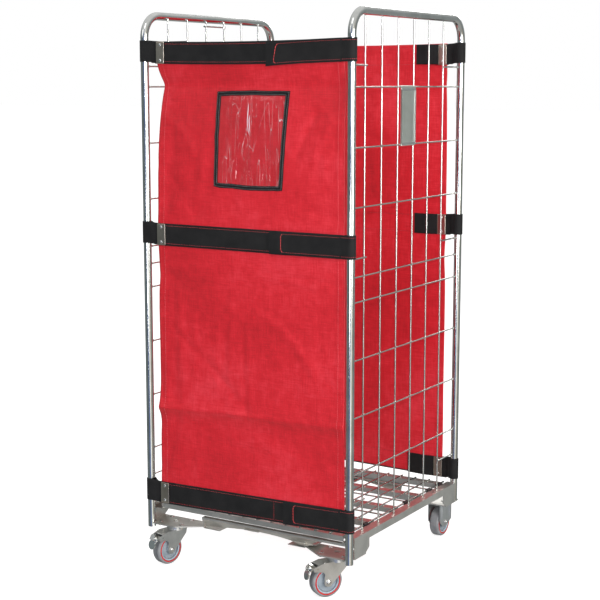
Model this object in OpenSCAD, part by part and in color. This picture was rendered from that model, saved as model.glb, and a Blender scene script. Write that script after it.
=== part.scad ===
// Linen trolley: two tube-and-wire side frames on a caster base, a wire deck that hinges up,
// and a strapped cloth cover on the front and on the back.
// X is to the right, Y to the back, Z up.  The floor is Z = 0.

/* [Side frames] */
// Distance between the left and right post centres
frame_w = 738; // [600:1:900]
// Distance between the front and rear post centres
frame_d = 732; // [600:1:900]
// Height of the top of the side frames above the floor
total_h = 1768; // [1500:1:1900]
// Outer diameter of the frame tube
tube_d = 25; // [22:0.5:30]
// Wall of the frame tube
tube_wall = 1.5; // [1:0.1:2.5]
// Centreline radius of the two top bends
bend_r = 68; // [50:1:100]
// Height of the open lower end of the front posts
front_post_z = 118; // [112:1:122]

/* [Wire mesh] */
// Diameter of the mesh wires
wire_d = 5; // [4:0.5:6]
// Number of upright wires in each side frame
upright_count = 6; // [4:1:8]
// Height of the lowest cross wire
cross_first_z = 382; // [352:1:412]
// Spacing of the cross wires
cross_pitch = 175; // [150:1:180]
// Gap between the two close cross wires at mid height
cross_pair_gap = 75; // [50:1:100]

/* [Base] */
// Width of the flanges of the side rails
rail_w = 31; // [28:1:34]
// Height of the top of the side rails
rail_top_z = 198; // [192:1:204]
// Height of the side rails
rail_h = 23; // [20:1:26]
// Sheet thickness of rails and brackets
sheet_t = 3; // [2:0.5:3.5]
// Thickness of the caster bracket plates
plate_t = 4; // [3:0.5:5]

/* [Deck] */
// Half depth of the folding deck
deck_half_d = 345; // [330:1:346]
// Diameter of the hinge rod of the deck
hinge_rod_d = 6; // [5:0.5:7]
// Number of long wires on the deck, without the hinge rod
long_wire_count = 13; // [9:1:15]
// Number of cross bars under the deck
bar_count = 5; // [3:1:6]

/* [Casters] */
// Wheel diameter
wheel_d = 100; // [90:1:100]
// Wheel width
wheel_w = 34; // [30:1:36]
// Height of the top face of the caster plates
caster_h = 130; // [128:1:132]
// Distance from the swivel axis to the axle
swivel_trail = 40; // [36:1:42]
// Swivel axis to the centre plane, left to right
front_caster_x = 303; // [290:1:304]
// Swivel axis to the centre plane, front to back
front_caster_y = 322; // [316:1:332]
// Fixed caster to the centre plane, left to right
rear_caster_x = 318; // [300:1:320]
// Fixed caster to the centre plane, front to back
rear_caster_y = 366; // [350:1:370]
// Direction in which the front left wheel trails
left_trail_angle = 256; // [180:1:360]
// Direction in which the front right wheel trails
right_trail_angle = 236; // [180:1:360]
// Caster bolt spacing along the longer side
bolt_long = 80; // [80:1:82]
// Caster bolt spacing along the shorter side
bolt_short = 60; // [58:1:60]

/* [Covers and straps] */
// Width of the strap webbing
strap_w = 70; // [60:1:75]
// Thickness of the strap webbing
strap_t = 2.5; // [2:0.1:3]
// Height of the middle of the top strap
top_strap_z = 1641; // [1625:1:1655]
// Height of the middle of the centre strap
mid_strap_z = 1078; // [1052:1:1092]
// Height of the middle of the bottom strap
low_strap_z = 245; // [240:1:249]
// Thickness of the cover cloth
cover_t = 1.5; // [1:0.1:2]

/* [Hidden] */

$fn = 48;
tiny = 0.1;

steel = "#b8b7b0";
bright = "#cfd0cf";
cloth_red = "#d4202c";
web_black = "#1c1c1e";
tyre_grey = "#8a8d8f";
hub_grey = "#8d99a5";
plastic_black = "#141414";

// Sign of each side: -1 is left or front, +1 is right or rear
LEFT = -1;
RIGHT = 1;

// Side frames
post_x = frame_w / 2;
post_y = frame_d / 2;
tube_r = tube_d / 2;
bore_r = tube_r - tube_wall;
top_axis_z = total_h - tube_r;
bend_axis_z = top_axis_z - bend_r;
rear_post_z = caster_h + plate_t;
wire_r = wire_d / 2;
upright_x = post_x - tube_r - 1.5;
cross_x = upright_x + wire_d;
upright_pitch = frame_d / (upright_count + 1);
upright_top_z = top_axis_z - 6;
cross_end_y = post_y - 11;
wires_above_gap = 3;
wires_below_gap = 4;
cross_low_z = [for (i = [0 : wires_below_gap - 1]) cross_first_z + i * cross_pitch];
pair_z = cross_low_z[wires_below_gap - 1] + cross_pair_gap;
cross_high_start = 1187;
cross_high_z = [for (i = [0 : wires_above_gap - 1]) cross_high_start + i * cross_pitch];
cross_z = concat(cross_low_z, [pair_z], cross_high_z);
stub_z = [top_strap_z - strap_w / 2 - 6, mid_strap_z - strap_w / 2 - 6,
    low_strap_z + strap_w / 2 + 14];
stub_inner_y = upright_pitch * (upright_count - 1) / 2 - 4;
hook_wire_z = 1732;

// Label plate in the cell between the two middle uprights
label_w = 100;
label_low_z = cross_high_z[1] - 4;
label_top_z = cross_high_z[2];
label_t = 1.2;
label_x = cross_x + wire_r + 0.4;
label_roll_r = wire_r + 0.5;

// Rails, brackets and beams
rail_out_x = post_x + tube_r - 0.5;
rail_in_x = rail_out_x - rail_w;
rail_low_z = rail_top_z - rail_h;
rail_end_y = post_y - tube_r - 0.5;
plate_top_z = caster_h + plate_t;
beam_left_x = 180;
beam_right_x = 200;
beam_top_z = 173;
beam_bar_low_z = 166;
beam_face_y = post_y - 14;
beam_foot_w = 62;
apron_tilt = 50;
beam_t = 2.5;
small_dome_r = 27;
big_dome_r = 44;
bracket_tip_x = 177;

// Deck
hinge_x = 340;
hinge_z = rail_top_z - 0.5;
hinge_r = hinge_rod_d / 2;
long_pitch = 52.5;
long_wire_low_z = rail_top_z - 3;
bar_t = 2;
bar_w = 28;
bar_low_z = rail_low_z + sheet_t + 0.3;
bar_left_x = -post_x + 24;
bar_right_x = hinge_x - hinge_r;
bar_pitch = (2 * deck_half_d - bar_w) / (bar_count - 1);
clip_len = 24;
clip_y = [-215, 60, 225, 303];
hinge_play = 0.05;

// Casters
axle_z = wheel_d / 2;
axle_r = 5;
axle_play = 0.05;
top_plate_t = 3.5;
top_plate_long = 104;
top_plate_short = 84;
race_r = 30;
race_z = 121;
crown_r = 31;
crown_z = 120;
crown_low_z = 109;
kingpin_r = 6;
kingpin_play = 0.05;
fork_in = wheel_w / 2 + 3;
fork_t = 3;
fork_out = fork_in + fork_t;
bolt_r = 4;
pedal_pivot = [76, 96];
pedal_pin_r = 3;
hub_r = wheel_d / 2 - 13;

// Covers and straps
cover_in_y = post_y + 6;
cover_out_y = cover_in_y + cover_t;
band_out_y = cover_out_y + strap_t;
cover_left_x = -322;
cover_right_x = 352;
cover_low_z = low_strap_z - strap_w / 2 + 4;
cover_top_z = top_strap_z + strap_w / 2 + 4;
strap_zs = [top_strap_z, mid_strap_z, low_strap_z];
loop_in_r = tube_r + 0.3;
loop_out_r = loop_in_r + strap_t;
loop_clip_x = 322;
clip_in_x = 291;
clip_t = 1.5;
clip_h = strap_w + 2;
rivet_r = 5;
tail_gap = 0.6;
tail_in_y = band_out_y + tail_gap;
tail_hinge_x = 338;
tail_free_x = [86, 95, 143];

// Pocket on the front cover: corners as [x, z], clockwise from the lower left
pocket = [[-103, 1237], [-87, 1521], [169, 1521], [141, 1237]];
binding_w = 15;
pocket_t = 3;

// The casters stand out further at the front than the covers do at the back, so the
// whole model moves back by this much to put the origin under the middle of its box
shift_y = 5.4;

module at_origin() {
    translate([0, shift_y, 0]) children();
}

// Turns a part of the front into the same part of the rear
module turned() {
    rotate([0, 0, 180]) children();
}

// Copies for a side: side is LEFT or RIGHT
module on_side(side) {
    if (side == LEFT) mirror([1, 0, 0]) children();
    else children();
}

// Rod along Y from y0 to y1
module rod_y(x, z, r, y0, y1) {
    translate([x, y0, z]) rotate([-90, 0, 0]) cylinder(r = r, h = y1 - y0);
}

// Rod along X from x0 to x1
module rod_x(y, z, r, x0, x1) {
    translate([x0, y, z]) rotate([0, 90, 0]) cylinder(r = r, h = x1 - x0);
}

// Rod along Z from z0 to z1
module rod_z(x, y, r, z0, z1) {
    translate([x, y, z0]) cylinder(r = r, h = z1 - z0);
}

// ---------------------------------------------------------------- side frames

// The path of the U-shaped frame tube, filled to radius r and longer at its ends by more
module tube_path(r, more) {
    rod_z(post_x, -post_y, r, front_post_z - more, bend_axis_z);
    rod_z(post_x, post_y, r, rear_post_z - more, bend_axis_z);
    rod_y(post_x, top_axis_z, r, bend_r - post_y, post_y - bend_r);
    for (end = [-1, 1])
        translate([post_x, end * (post_y - bend_r), bend_axis_z])
            rotate([0, 0, end * 90])
                rotate([90, 0, 0])
                    rotate_extrude(angle = 90, $fn = 96) translate([bend_r, 0]) circle(r = r);
}

module frame_tube(side) {
    color(bright) at_origin() on_side(side) difference() {
        tube_path(tube_r, 0);
        tube_path(bore_r, 1);
    }
}

module upright_wires(side) {
    color(bright) at_origin() on_side(side)
        for (i = [0 : upright_count - 1])
            rod_z(upright_x, (i - (upright_count - 1) / 2) * upright_pitch, wire_r,
                rail_top_z, upright_top_z);
}

// Full cross wires, the short stubs that hold the straps in height, and on the left
// frame the hook wire near its top
module cross_wires(side) {
    color(bright) at_origin() on_side(side) {
        for (z = cross_z) rod_y(cross_x, z, wire_r, -cross_end_y, cross_end_y);
        for (z = stub_z) {
            rod_y(cross_x, z, wire_r, -cross_end_y, -stub_inner_y);
            rod_y(cross_x, z, wire_r, stub_inner_y, cross_end_y);
        }
        if (side == LEFT) {
            rod_y(cross_x, hook_wire_z, wire_r, -upright_pitch / 2 - 4, upright_pitch / 2 + 6);
            translate([cross_x, upright_pitch / 2 + 8, hook_wire_z]) sphere(r = 5);
        }
    }
}

module label_plate() {
    color(steel) at_origin() {
        difference() {
            translate([label_x, -label_w / 2, label_low_z])
                cube([label_t, label_w, label_top_z - label_low_z]);
            // Sunken field for the label
            translate([label_x + label_t - 0.4, -label_w / 2 + 8, label_low_z + 10])
                cube([1, label_w - 16, label_top_z - label_low_z - 34]);
        }
        // Edge rolled over the top cross wire
        translate([cross_x, label_w / 2, label_top_z]) rotate([90, 0, 0]) linear_extrude(label_w)
            difference() {
                circle(r = label_roll_r + label_t + 0.2);
                circle(r = label_roll_r);
                translate([-10, -20]) square([20, 20]);
            }
        // Raised lip along the foot
        translate([label_x + label_t, -label_w / 2 + 8, label_low_z])
            cube([1.5, label_w - 16, 4]);
    }
}

// ----------------------------------------------------------------------- base

module side_rail(side) {
    color(steel) at_origin() on_side(side)
        translate([0, rail_end_y, 0]) rotate([90, 0, 0]) linear_extrude(2 * rail_end_y)
            polygon([
                [rail_in_x, rail_top_z - sheet_t], [rail_in_x, rail_top_z],
                [rail_out_x, rail_top_z], [rail_out_x, rail_low_z],
                [rail_in_x - 15, rail_low_z], [rail_in_x - 15, rail_low_z + sheet_t],
                [rail_out_x - sheet_t, rail_low_z + sheet_t],
                [rail_out_x - sheet_t, rail_top_z - sheet_t]]);
}

// Pressed beam under the front edge: a bar between the rails, an apron that slopes back
// from it with a wavy lower edge, two pressed domes, and feet on both bracket plates
module beam() {
    bar_h = beam_top_z - beam_bar_low_z;
    bar_len = rail_out_x - sheet_t + beam_left_x;
    color(steel) {
        translate([-beam_left_x, -beam_face_y, beam_bar_low_z]) cube([bar_len, beam_t, bar_h]);
        translate([-beam_left_x, -beam_face_y, beam_top_z - beam_t]) cube([bar_len, 18, beam_t]);
        // Apron
        translate([0, -beam_face_y, beam_bar_low_z]) rotate([-apron_tilt, 0, 0])
            linear_extrude(beam_t) polygon([
                [-beam_left_x, -1], [-beam_left_x - 5, 35], [-150, 34], [-84, 22], [-30, 14],
                [20, 11], [70, 13], [110, 18], [150, 27], [190, 30], [220, 24], [246, 5], [250, -1]]);
        beam_dome(8, -beam_face_y + 26, small_dome_r, 151, 7, -beam_face_y + 1);
        beam_dome(192, -beam_face_y + 40, big_dome_r, plate_top_z + 0.5, 12, -beam_face_y + 14);
        // Feet and end gussets
        for (x = [-beam_left_x, beam_right_x - beam_foot_w]) {
            translate([x, -beam_face_y + 9, plate_top_z]) cube([beam_foot_w, 62, beam_t]);
            translate([x + (x < 0 ? 0 : beam_foot_w - beam_t), -beam_face_y + 9, plate_top_z])
                cube([beam_t, 9, beam_top_z - plate_top_z]);
        }
    }
}

// Shallow dome pressed downwards in a small shelf behind the bar
module beam_dome(x, y, r, low_z, h, front_y) {
    ball_r = (r * r + h * h) / (2 * h);
    translate([x, y, low_z]) intersection() {
        translate([0, 0, ball_r]) sphere(r = ball_r, $fn = 96);
        translate([0, 0, -1]) cylinder(r = r + 2, h = h + 1);
    }
    translate([x - r, front_y, low_z + h - 0.5]) cube([2 * r, y + r - front_y, beam_t]);
}

module front_beam() {
    at_origin() beam();
}

module rear_beam() {
    at_origin() turned() beam();
}

module front_bracket(side) {
    color(steel) at_origin() on_side(side) difference() {
        union() {
            translate([0, 0, caster_h]) linear_extrude(plate_t)
                polygon([
                    [bracket_tip_x, -post_y + 84], [bracket_tip_x + 8, -post_y + 46],
                    [front_caster_x - 34, -post_y - 12], [post_x - tube_r - 0.5, -post_y - 12],
                    [post_x - tube_r - 0.5, -rail_end_y], [rail_out_x, -rail_end_y],
                    [rail_out_x, -post_y + 84]]);
            bracket_flange(-1);
        }
        translate([front_caster_x, -front_caster_y, caster_h - 1])
            cylinder(r = kingpin_r + 4, h = plate_t + 2);
        at_bolts(front_caster_x, -front_caster_y, bolt_long, bolt_short)
            translate([0, 0, caster_h - 1]) cylinder(r = bolt_r + 0.3, h = plate_t + 2);
    }
}

// Upright flange between a bracket plate and its rail, with its free lower corner cut off
module bracket_flange(end) {
    depth = 92;
    flange_top_z = rail_low_z;
    mirror([0, end == 1 ? 0 : 1, 0])
        translate([rail_out_x - sheet_t, 0, 0]) rotate([90, 0, 90]) linear_extrude(sheet_t)
            polygon([
                [rail_end_y, plate_top_z], [rail_end_y, flange_top_z],
                [rail_end_y - depth, flange_top_z], [rail_end_y - depth, plate_top_z + 14],
                [rail_end_y - depth + 22, plate_top_z]]);
}

module rear_bracket(side) {
    color(steel) at_origin() on_side(side) difference() {
        union() {
            translate([0, 0, caster_h]) linear_extrude(plate_t)
                polygon([
                    [bracket_tip_x, post_y - 84], [bracket_tip_x + 8, post_y - 46],
                    [rear_caster_x - 50, post_y - 8], [rear_caster_x - 50, post_y + 46],
                    [rear_caster_x + 42, post_y + 46], [rear_caster_x + 42, post_y + 22],
                    [rail_out_x, post_y + 14], [rail_out_x, post_y - 84]]);
            bracket_flange(1);
        }
        at_bolts(rear_caster_x, rear_caster_y, bolt_short, bolt_long)
            translate([0, 0, caster_h - 1]) cylinder(r = bolt_r + 0.3, h = plate_t + 2);
    }
}

// Repeats its child at the four bolts around x, y
module at_bolts(x, y, span_x, span_y) {
    for (i = [-1, 1], j = [-1, 1])
        translate([x + i * span_x / 2, y + j * span_y / 2, 0]) children();
}

// Carriage bolt: shallow domed head on the bracket, shank, and nut under the caster plate
module caster_bolt() {
    head_r = 8;
    head_h = 3.5;
    nut_h = 5.5;
    ball_r = (head_r * head_r + head_h * head_h) / (2 * head_h);
    translate([0, 0, plate_top_z]) intersection() {
        translate([0, 0, head_h - ball_r]) sphere(r = ball_r);
        cylinder(r = head_r, h = head_h + 1);
    }
    translate([0, 0, caster_h - top_plate_t]) cylinder(r = bolt_r, h = plate_t + top_plate_t);
    translate([0, 0, caster_h - top_plate_t - nut_h]) cylinder(r = 7, h = nut_h, $fn = 6);
}

module caster_bolts() {
    color(bright) at_origin() for (side = [LEFT, RIGHT]) {
        at_bolts(side * front_caster_x, -front_caster_y, bolt_long, bolt_short) caster_bolt();
        at_bolts(side * rear_caster_x, rear_caster_y, bolt_short, bolt_long) caster_bolt();
    }
}

// -------------------------------------------------------------------- casters

// Places its children with the swivel axis on Z and the wheel trailing along +X
module at_front_caster(side) {
    angle = side == LEFT ? left_trail_angle : right_trail_angle;
    at_origin() translate([side * front_caster_x, -front_caster_y, 0])
        rotate([0, 0, angle]) children();
}

// Places its children with the fixed caster's axle line on X
module at_rear_caster(side) {
    at_origin() translate([side * rear_caster_x, rear_caster_y, 0]) children();
}

// Plate with cut corners and four bolt holes, its longer side along X
module drilled_plate() {
    a = top_plate_long / 2;
    b = top_plate_short / 2;
    c = 6;
    difference() {
        translate([0, 0, caster_h - top_plate_t]) linear_extrude(top_plate_t)
            polygon([[-a + c, -b], [a - c, -b], [a, -b + c], [a, b - c],
                [a - c, b], [-a + c, b], [-a, b - c], [-a, -b + c]]);
        at_bolts(0, 0, bolt_long, bolt_short)
            translate([0, 0, caster_h - top_plate_t - 1])
                cylinder(r = bolt_r + 0.3, h = top_plate_t + 2);
    }
}

module top_plate(side) {
    color(bright) at_origin() translate([side * front_caster_x, -front_caster_y, 0])
        difference() {
            union() {
                drilled_plate();
                translate([0, 0, race_z]) cylinder(r = race_r, h = caster_h - top_plate_t - race_z);
            }
            translate([0, 0, race_z - 1]) cylinder(r = kingpin_r, h = 20);
        }
}

// Kingpin riveted in the top plate, with its head under the fork crown
module kingpin(side) {
    head_z = crown_low_z - 5;
    color(bright) at_origin() translate([side * front_caster_x, -front_caster_y, 0]) {
        translate([0, 0, head_z]) cylinder(r = kingpin_r + 4, h = crown_low_z - head_z - 0.3);
        translate([0, 0, head_z]) cylinder(r = kingpin_r, h = caster_h + 2 - head_z);
    }
}

// Outline of a swivel fork leg in the X-Z plane, with the eye round the axle
module leg_outline() {
    polygon([[-26, 112], [-22, 94], [27, 44], [50, 40], [54, 58], [52, 76], [58, 84],
        [88, 88], [91, 100], [54, 112]]);
    translate([swivel_trail, axle_z]) circle(r = 14);
}

module swivel_fork(side) {
    color(steel) at_front_caster(side) difference() {
        union() {
            // Crown round the kingpin
            translate([0, 0, crown_low_z]) cylinder(r = crown_r, h = crown_z - crown_low_z);
            // Two legs
            for (s = [-1, 1])
                translate([0, s == 1 ? fork_out : -fork_in, 0]) rotate([90, 0, 0])
                    linear_extrude(fork_t) leg_outline();
            // Shoulder between the legs
            translate([-20, -fork_in - tiny, crown_low_z])
                cube([74, 2 * (fork_in + tiny), 3]);
            // Hood over the brake, sloping to the pedal
            translate([54, 0, 112]) rotate([0, 18, 0])
                translate([-3, -fork_in - tiny, -3]) cube([22, 2 * (fork_in + tiny), 3]);
            // Cross tie below the pedal
            translate([80, -fork_in - tiny, 87]) cube([6, 2 * (fork_in + tiny), 2.5]);
        }
        translate([0, 0, crown_low_z - 1]) cylinder(r = kingpin_r + kingpin_play, h = 20);
        translate([swivel_trail, fork_out + 1, axle_z]) rotate([90, 0, 0])
            cylinder(r = axle_r, h = 2 * fork_out + 2);
        translate([pedal_pivot[0], fork_out + 1, pedal_pivot[1]]) rotate([90, 0, 0])
            cylinder(r = pedal_pin_r + 0.05, h = 2 * fork_out + 2);
    }
}

// Rocking brake pedal on its own pin: an upper lobe to release and a lower tongue to press
module pedal(side) {
    half = fork_in - 1;
    color(bright) at_front_caster(side) {
        // Pin that turns in the two fork legs
        translate([pedal_pivot[0], fork_out, pedal_pivot[1]]) rotate([90, 0, 0])
            cylinder(r = pedal_pin_r, h = 2 * fork_out);
        // Arm
        translate([pedal_pivot[0], half, 0]) rotate([90, 0, 0]) linear_extrude(2 * half)
            polygon([[-7, 93], [-7, 98], [2, 100.5], [19, 98], [23, 91], [22, 88],
                [20, 88], [17, 94], [2, 93]]);
        // Upper lobe
        translate([pedal_pivot[0] + 23, 0, 99]) rotate([0, 62, 0])
            translate([0, 0, -2]) cylinder(r = 10, h = 4);
        translate([pedal_pivot[0] + 17, -8, 93]) cube([5, 16, 6]);
        // Lower tongue
        translate([pedal_pivot[0] + 27, 0, 76]) rotate([0, 78, 0])
            translate([0, 0, -2]) cylinder(r = 15.5, h = 4);
    }
}

// Axle bolt with a domed head at each end; half is half of its length over the fork
module axle_bolt(half) {
    head_r = 8;
    head_h = 4.5;
    rotate([90, 0, 0]) translate([0, 0, -half]) cylinder(r = axle_r, h = 2 * half);
    for (s = [-1, 1]) rotate([s * 90, 0, 0]) translate([0, 0, half]) {
        cylinder(r = head_r, h = head_h - 1.5);
        cylinder(r1 = head_r, r2 = head_r - 2.5, h = head_h, $fn = 48);
    }
}

module front_axle(side) {
    color(bright) at_front_caster(side) translate([swivel_trail, 0, axle_z]) axle_bolt(fork_out);
}

// Turned wheel centre, its axis along Y: a rim, a dark groove, a dished disc and a boss
module hub() {
    rim_z = wheel_w / 2 - 3;
    boss_z = wheel_w / 2 + 2;
    bore = axle_r + axle_play;
    color(hub_grey) rotate([90, 0, 0]) rotate_extrude($fn = 96) polygon([
        [bore, -boss_z], [12, -boss_z], [13.5, -boss_z + 2], [15, -12], [hub_r - 6, -10],
        [hub_r - 5, -8], [hub_r - 3.5, -8], [hub_r - 3, -rim_z], [hub_r, -rim_z],
        [hub_r, rim_z], [hub_r - 3, rim_z], [hub_r - 3.5, 8], [hub_r - 5, 8],
        [hub_r - 6, 10], [15, 12], [13.5, boss_z - 2], [12, boss_z], [bore, boss_z]]);
}

// Tyre with rounded shoulders
module tyre() {
    half = wheel_w / 2;
    shoulder = 8;
    color(tyre_grey) rotate([90, 0, 0]) rotate_extrude($fn = 96) {
        difference() {
            union() {
                translate([hub_r, -half]) square([wheel_d / 2 - hub_r - shoulder, wheel_w]);
                translate([hub_r, -half + shoulder])
                    square([wheel_d / 2 - hub_r, wheel_w - 2 * shoulder]);
                for (s = [-1, 1]) translate([wheel_d / 2 - shoulder, s * (half - shoulder)])
                    circle(r = shoulder);
            }
            translate([0, -half - 1]) square([hub_r, wheel_w + 2]);
        }
    }
}

module at_wheel(side, end) {
    if (end == "front") at_front_caster(side) translate([swivel_trail, 0, axle_z]) children();
    else at_rear_caster(side) rotate([0, 0, 90]) translate([0, 0, axle_z]) children();
}

module fixed_fork(side) {
    leg_half = 45;
    top = caster_h - top_plate_t;
    color(steel) at_rear_caster(side) rotate([0, 0, 90]) difference() {
        union() {
            drilled_plate();
            for (s = [-1, 1]) {
                translate([0, s == 1 ? fork_out : -fork_in, 0]) rotate([90, 0, 0])
                    linear_extrude(fork_t)
                        polygon([[-leg_half, top], [-leg_half, 60], [-24, 38], [8, 36],
                            [30, 46], [leg_half, 52], [leg_half, top]]);
                // Pressed stiffening ribs
                for (x = [-leg_half + 14, leg_half - 18])
                    translate([x, s == 1 ? fork_out - tiny : -fork_out - 2 + tiny, 62])
                        cube([4, 2, top - 62]);
            }
        }
        translate([0, fork_out + 3, axle_z]) rotate([90, 0, 0])
            cylinder(r = axle_r, h = 2 * fork_out + 6);
    }
}

module rear_axles() {
    color(bright) for (side = [LEFT, RIGHT])
        at_rear_caster(side) rotate([0, 0, 90]) translate([0, 0, axle_z]) axle_bolt(fork_out);
}

// ----------------------------------------------------------------------- deck

module deck_bars() {
    color(steel) at_origin() for (i = [0 : bar_count - 1])
        translate([0, -deck_half_d + i * bar_pitch, 0])
            difference() {
                translate([bar_left_x, 0, bar_low_z])
                    cube([bar_right_x - bar_left_x, bar_w, long_wire_low_z - bar_low_z]);
                translate([bar_left_x - 1, bar_t, bar_low_z - 1])
                    cube([bar_right_x - bar_left_x + 2, bar_w - 2 * bar_t,
                        long_wire_low_z - bar_low_z + 1 - bar_t]);
            }
}

module deck_cross_wires() {
    color(bright) at_origin() for (i = [0 : bar_count - 2])
        rod_x(-deck_half_d + bar_w / 2 + (i + 0.5) * bar_pitch, long_wire_low_z - wire_r,
            wire_r, bar_left_x, bar_right_x);
}

module deck_long_wires() {
    color(bright) at_origin() for (i = [1 : long_wire_count])
        rod_y(hinge_x - i * long_pitch, long_wire_low_z + wire_r, wire_r,
            -deck_half_d, deck_half_d);
}

module deck_hinge_rod() {
    color(bright) at_origin() rod_y(hinge_x, hinge_z, hinge_r, -deck_half_d, deck_half_d);
}

// Plastic bearings for the hinge rod, each clipped over the inner edge of the right rail
module deck_hinge_clips() {
    ring_r = hinge_r + 3;
    jaw_x = rail_in_x + 2;
    jaw_t = 2;
    color(plastic_black) at_origin() for (y = clip_y)
        translate([0, y + clip_len / 2, 0]) rotate([90, 0, 0]) linear_extrude(clip_len)
            difference() {
                union() {
                    translate([hinge_x, hinge_z]) circle(r = ring_r);
                    translate([hinge_x + hinge_r + 1, rail_top_z - sheet_t - jaw_t])
                        square([jaw_x - hinge_x - hinge_r - 1, sheet_t + 2 * jaw_t]);
                }
                translate([hinge_x, hinge_z]) circle(r = hinge_r + hinge_play);
                translate([rail_in_x, rail_top_z - sheet_t]) square([5, sheet_t]);
            }
}

// ----------------------------------------------------------- covers and straps

// Flat cloth panel of the front cover
module cover() {
    color(cloth_red)
        translate([cover_left_x, -cover_out_y, cover_low_z])
            cube([cover_right_x - cover_left_x, cover_t, cover_top_z - cover_low_z]);
}

// Flat bands sewn over the cover, from the clips to the wrap posts
module bands() {
    wrap_start_x = tail_hinge_x;
    color(web_black) for (z = strap_zs)
        translate([-loop_clip_x + 1, -band_out_y, z - strap_w / 2])
            cube([wrap_start_x + loop_clip_x - 1, strap_t, strap_w]);
}

// Plan of a webbing loop round a post at the origin, its legs meeting at [reach, rise]
module loop_plan(reach, rise, r) {
    dist = sqrt(reach * reach + rise * rise);
    angle = atan2(rise, reach);
    spread = acos(r / dist);
    circle(r = r, $fn = 64);
    rotate([0, 0, angle]) polygon([[dist, 0.01], [r * cos(spread), r * sin(spread)], [0, 0],
        [r * cos(spread), -r * sin(spread)], [dist, -0.01]]);
}

// Webbing loop of width strap_w round a post; the joined legs stop at cut
module webbing_loop(reach, rise, cut, z) {
    translate([0, 0, z - strap_w / 2]) linear_extrude(strap_w) intersection() {
        difference() {
            loop_plan(reach + 14, rise * (reach + 14) / reach, loop_out_r);
            loop_plan(reach, rise, loop_in_r);
        }
        translate([-loop_out_r - 1, -2 * loop_out_r])
            square([cut + loop_out_r + 1, 4 * loop_out_r]);
    }
}

// Loops on the post next to the clips
module clip_side_loops() {
    rise = -(cover_out_y + strap_t / 2 - post_y);
    reach = post_x - loop_clip_x + 5;
    cut = post_x - loop_clip_x - 2.5;
    color(web_black) for (z = strap_zs)
        translate([-post_x, -post_y, 0]) webbing_loop(reach, rise, cut, z);
}

// Wraps on the other post, where the straps turn back on themselves
module wrap_side_loops() {
    rise = cover_out_y + strap_t / 2 - post_y;
    reach = post_x - tail_hinge_x + 16;
    cut = post_x - tail_hinge_x - 3;
    color(web_black) for (z = strap_zs)
        translate([post_x, -post_y, 0]) rotate([0, 0, 180])
            webbing_loop(reach, rise, cut, z);
}

// Free end of a strap, lying over its own band
module tail(level) {
    free_x = tail_free_x[level];
    color(web_black)
        translate([free_x, -tail_in_y - strap_t, strap_zs[level] - strap_w / 2])
            cube([tail_hinge_x - free_x, strap_t, strap_w]);
}

// Clamp plates outside and inside at each clip
module clip_pair() {
    color(bright) for (z = strap_zs) {
        translate([-loop_clip_x, -band_out_y - clip_t, z - clip_h / 2])
            cube([loop_clip_x - clip_in_x, clip_t, clip_h]);
        translate([-loop_clip_x, -cover_in_y, z - clip_h / 2])
            cube([loop_clip_x - clip_in_x, clip_t, clip_h]);
    }
}

module clip_rivet_set() {
    x = -(loop_clip_x + clip_in_x) / 2;
    head = 1.6;
    color(bright) for (z = strap_zs, s = [-1, 1])
        translate([x, 0, z + s * (clip_h / 2 - 9)]) rotate([90, 0, 0]) {
            translate([0, 0, band_out_y + clip_t]) cylinder(r1 = rivet_r, r2 = rivet_r - 2,
                h = head, $fn = 32);
            translate([0, 0, cover_in_y - clip_t - head]) cylinder(r1 = rivet_r - 2,
                r2 = rivet_r, h = head, $fn = 32);
        }
}

module front_and_rear() {
    at_origin() {
        children();
        turned() children();
    }
}

module pocket_binding() {
    inner = [
        [pocket[0][0] + binding_w, pocket[0][1] + binding_w],
        [pocket[1][0] + binding_w, pocket[1][1] - binding_w],
        [pocket[2][0] - binding_w, pocket[2][1] - binding_w],
        [pocket[3][0] - binding_w, pocket[3][1] + binding_w]];
    color(web_black) at_origin() translate([0, -cover_out_y, 0]) rotate([90, 0, 0])
        linear_extrude(pocket_t) difference() {
            polygon(pocket);
            polygon(inner);
        }
}

module pocket_window() {
    edge = binding_w + 0.2;
    color("#e8d8d8") at_origin() translate([0, -cover_out_y - 0.5, 0]) rotate([90, 0, 0])
        linear_extrude(pocket_t - 1.5) polygon([
            [pocket[0][0] + edge, pocket[0][1] + edge],
            [pocket[1][0] + edge, pocket[1][1] - edge],
            [pocket[2][0] - edge, pocket[2][1] - edge],
            [pocket[3][0] - edge, pocket[3][1] + edge]]);
}

// ------------------------------------------------------------------- assembly

frame_tube(LEFT);  // left_frame_tube
frame_tube(RIGHT);  // right_frame_tube
upright_wires(LEFT);  // left_upright_wires
upright_wires(RIGHT);  // right_upright_wires
cross_wires(LEFT);  // left_cross_wires
cross_wires(RIGHT);  // right_cross_wires
label_plate();
side_rail(LEFT);  // left_side_rail
side_rail(RIGHT);  // right_side_rail
front_beam();
rear_beam();
front_bracket(LEFT);  // front_left_bracket
front_bracket(RIGHT);  // front_right_bracket
rear_bracket(LEFT);  // rear_left_bracket
rear_bracket(RIGHT);  // rear_right_bracket
caster_bolts();
top_plate(LEFT);  // front_left_top_plate
top_plate(RIGHT);  // front_right_top_plate
kingpin(LEFT);  // front_left_kingpin
kingpin(RIGHT);  // front_right_kingpin
swivel_fork(LEFT);  // front_left_fork
swivel_fork(RIGHT);  // front_right_fork
pedal(LEFT);  // front_left_pedal
pedal(RIGHT);  // front_right_pedal
front_axle(LEFT);  // front_left_axle
front_axle(RIGHT);  // front_right_axle
at_wheel(LEFT, "front") hub();  // front_left_hub
at_wheel(RIGHT, "front") hub();  // front_right_hub
at_wheel(LEFT, "front") tyre();  // front_left_tyre
at_wheel(RIGHT, "front") tyre();  // front_right_tyre
fixed_fork(LEFT);  // rear_left_fork
fixed_fork(RIGHT);  // rear_right_fork
rear_axles();
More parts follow.
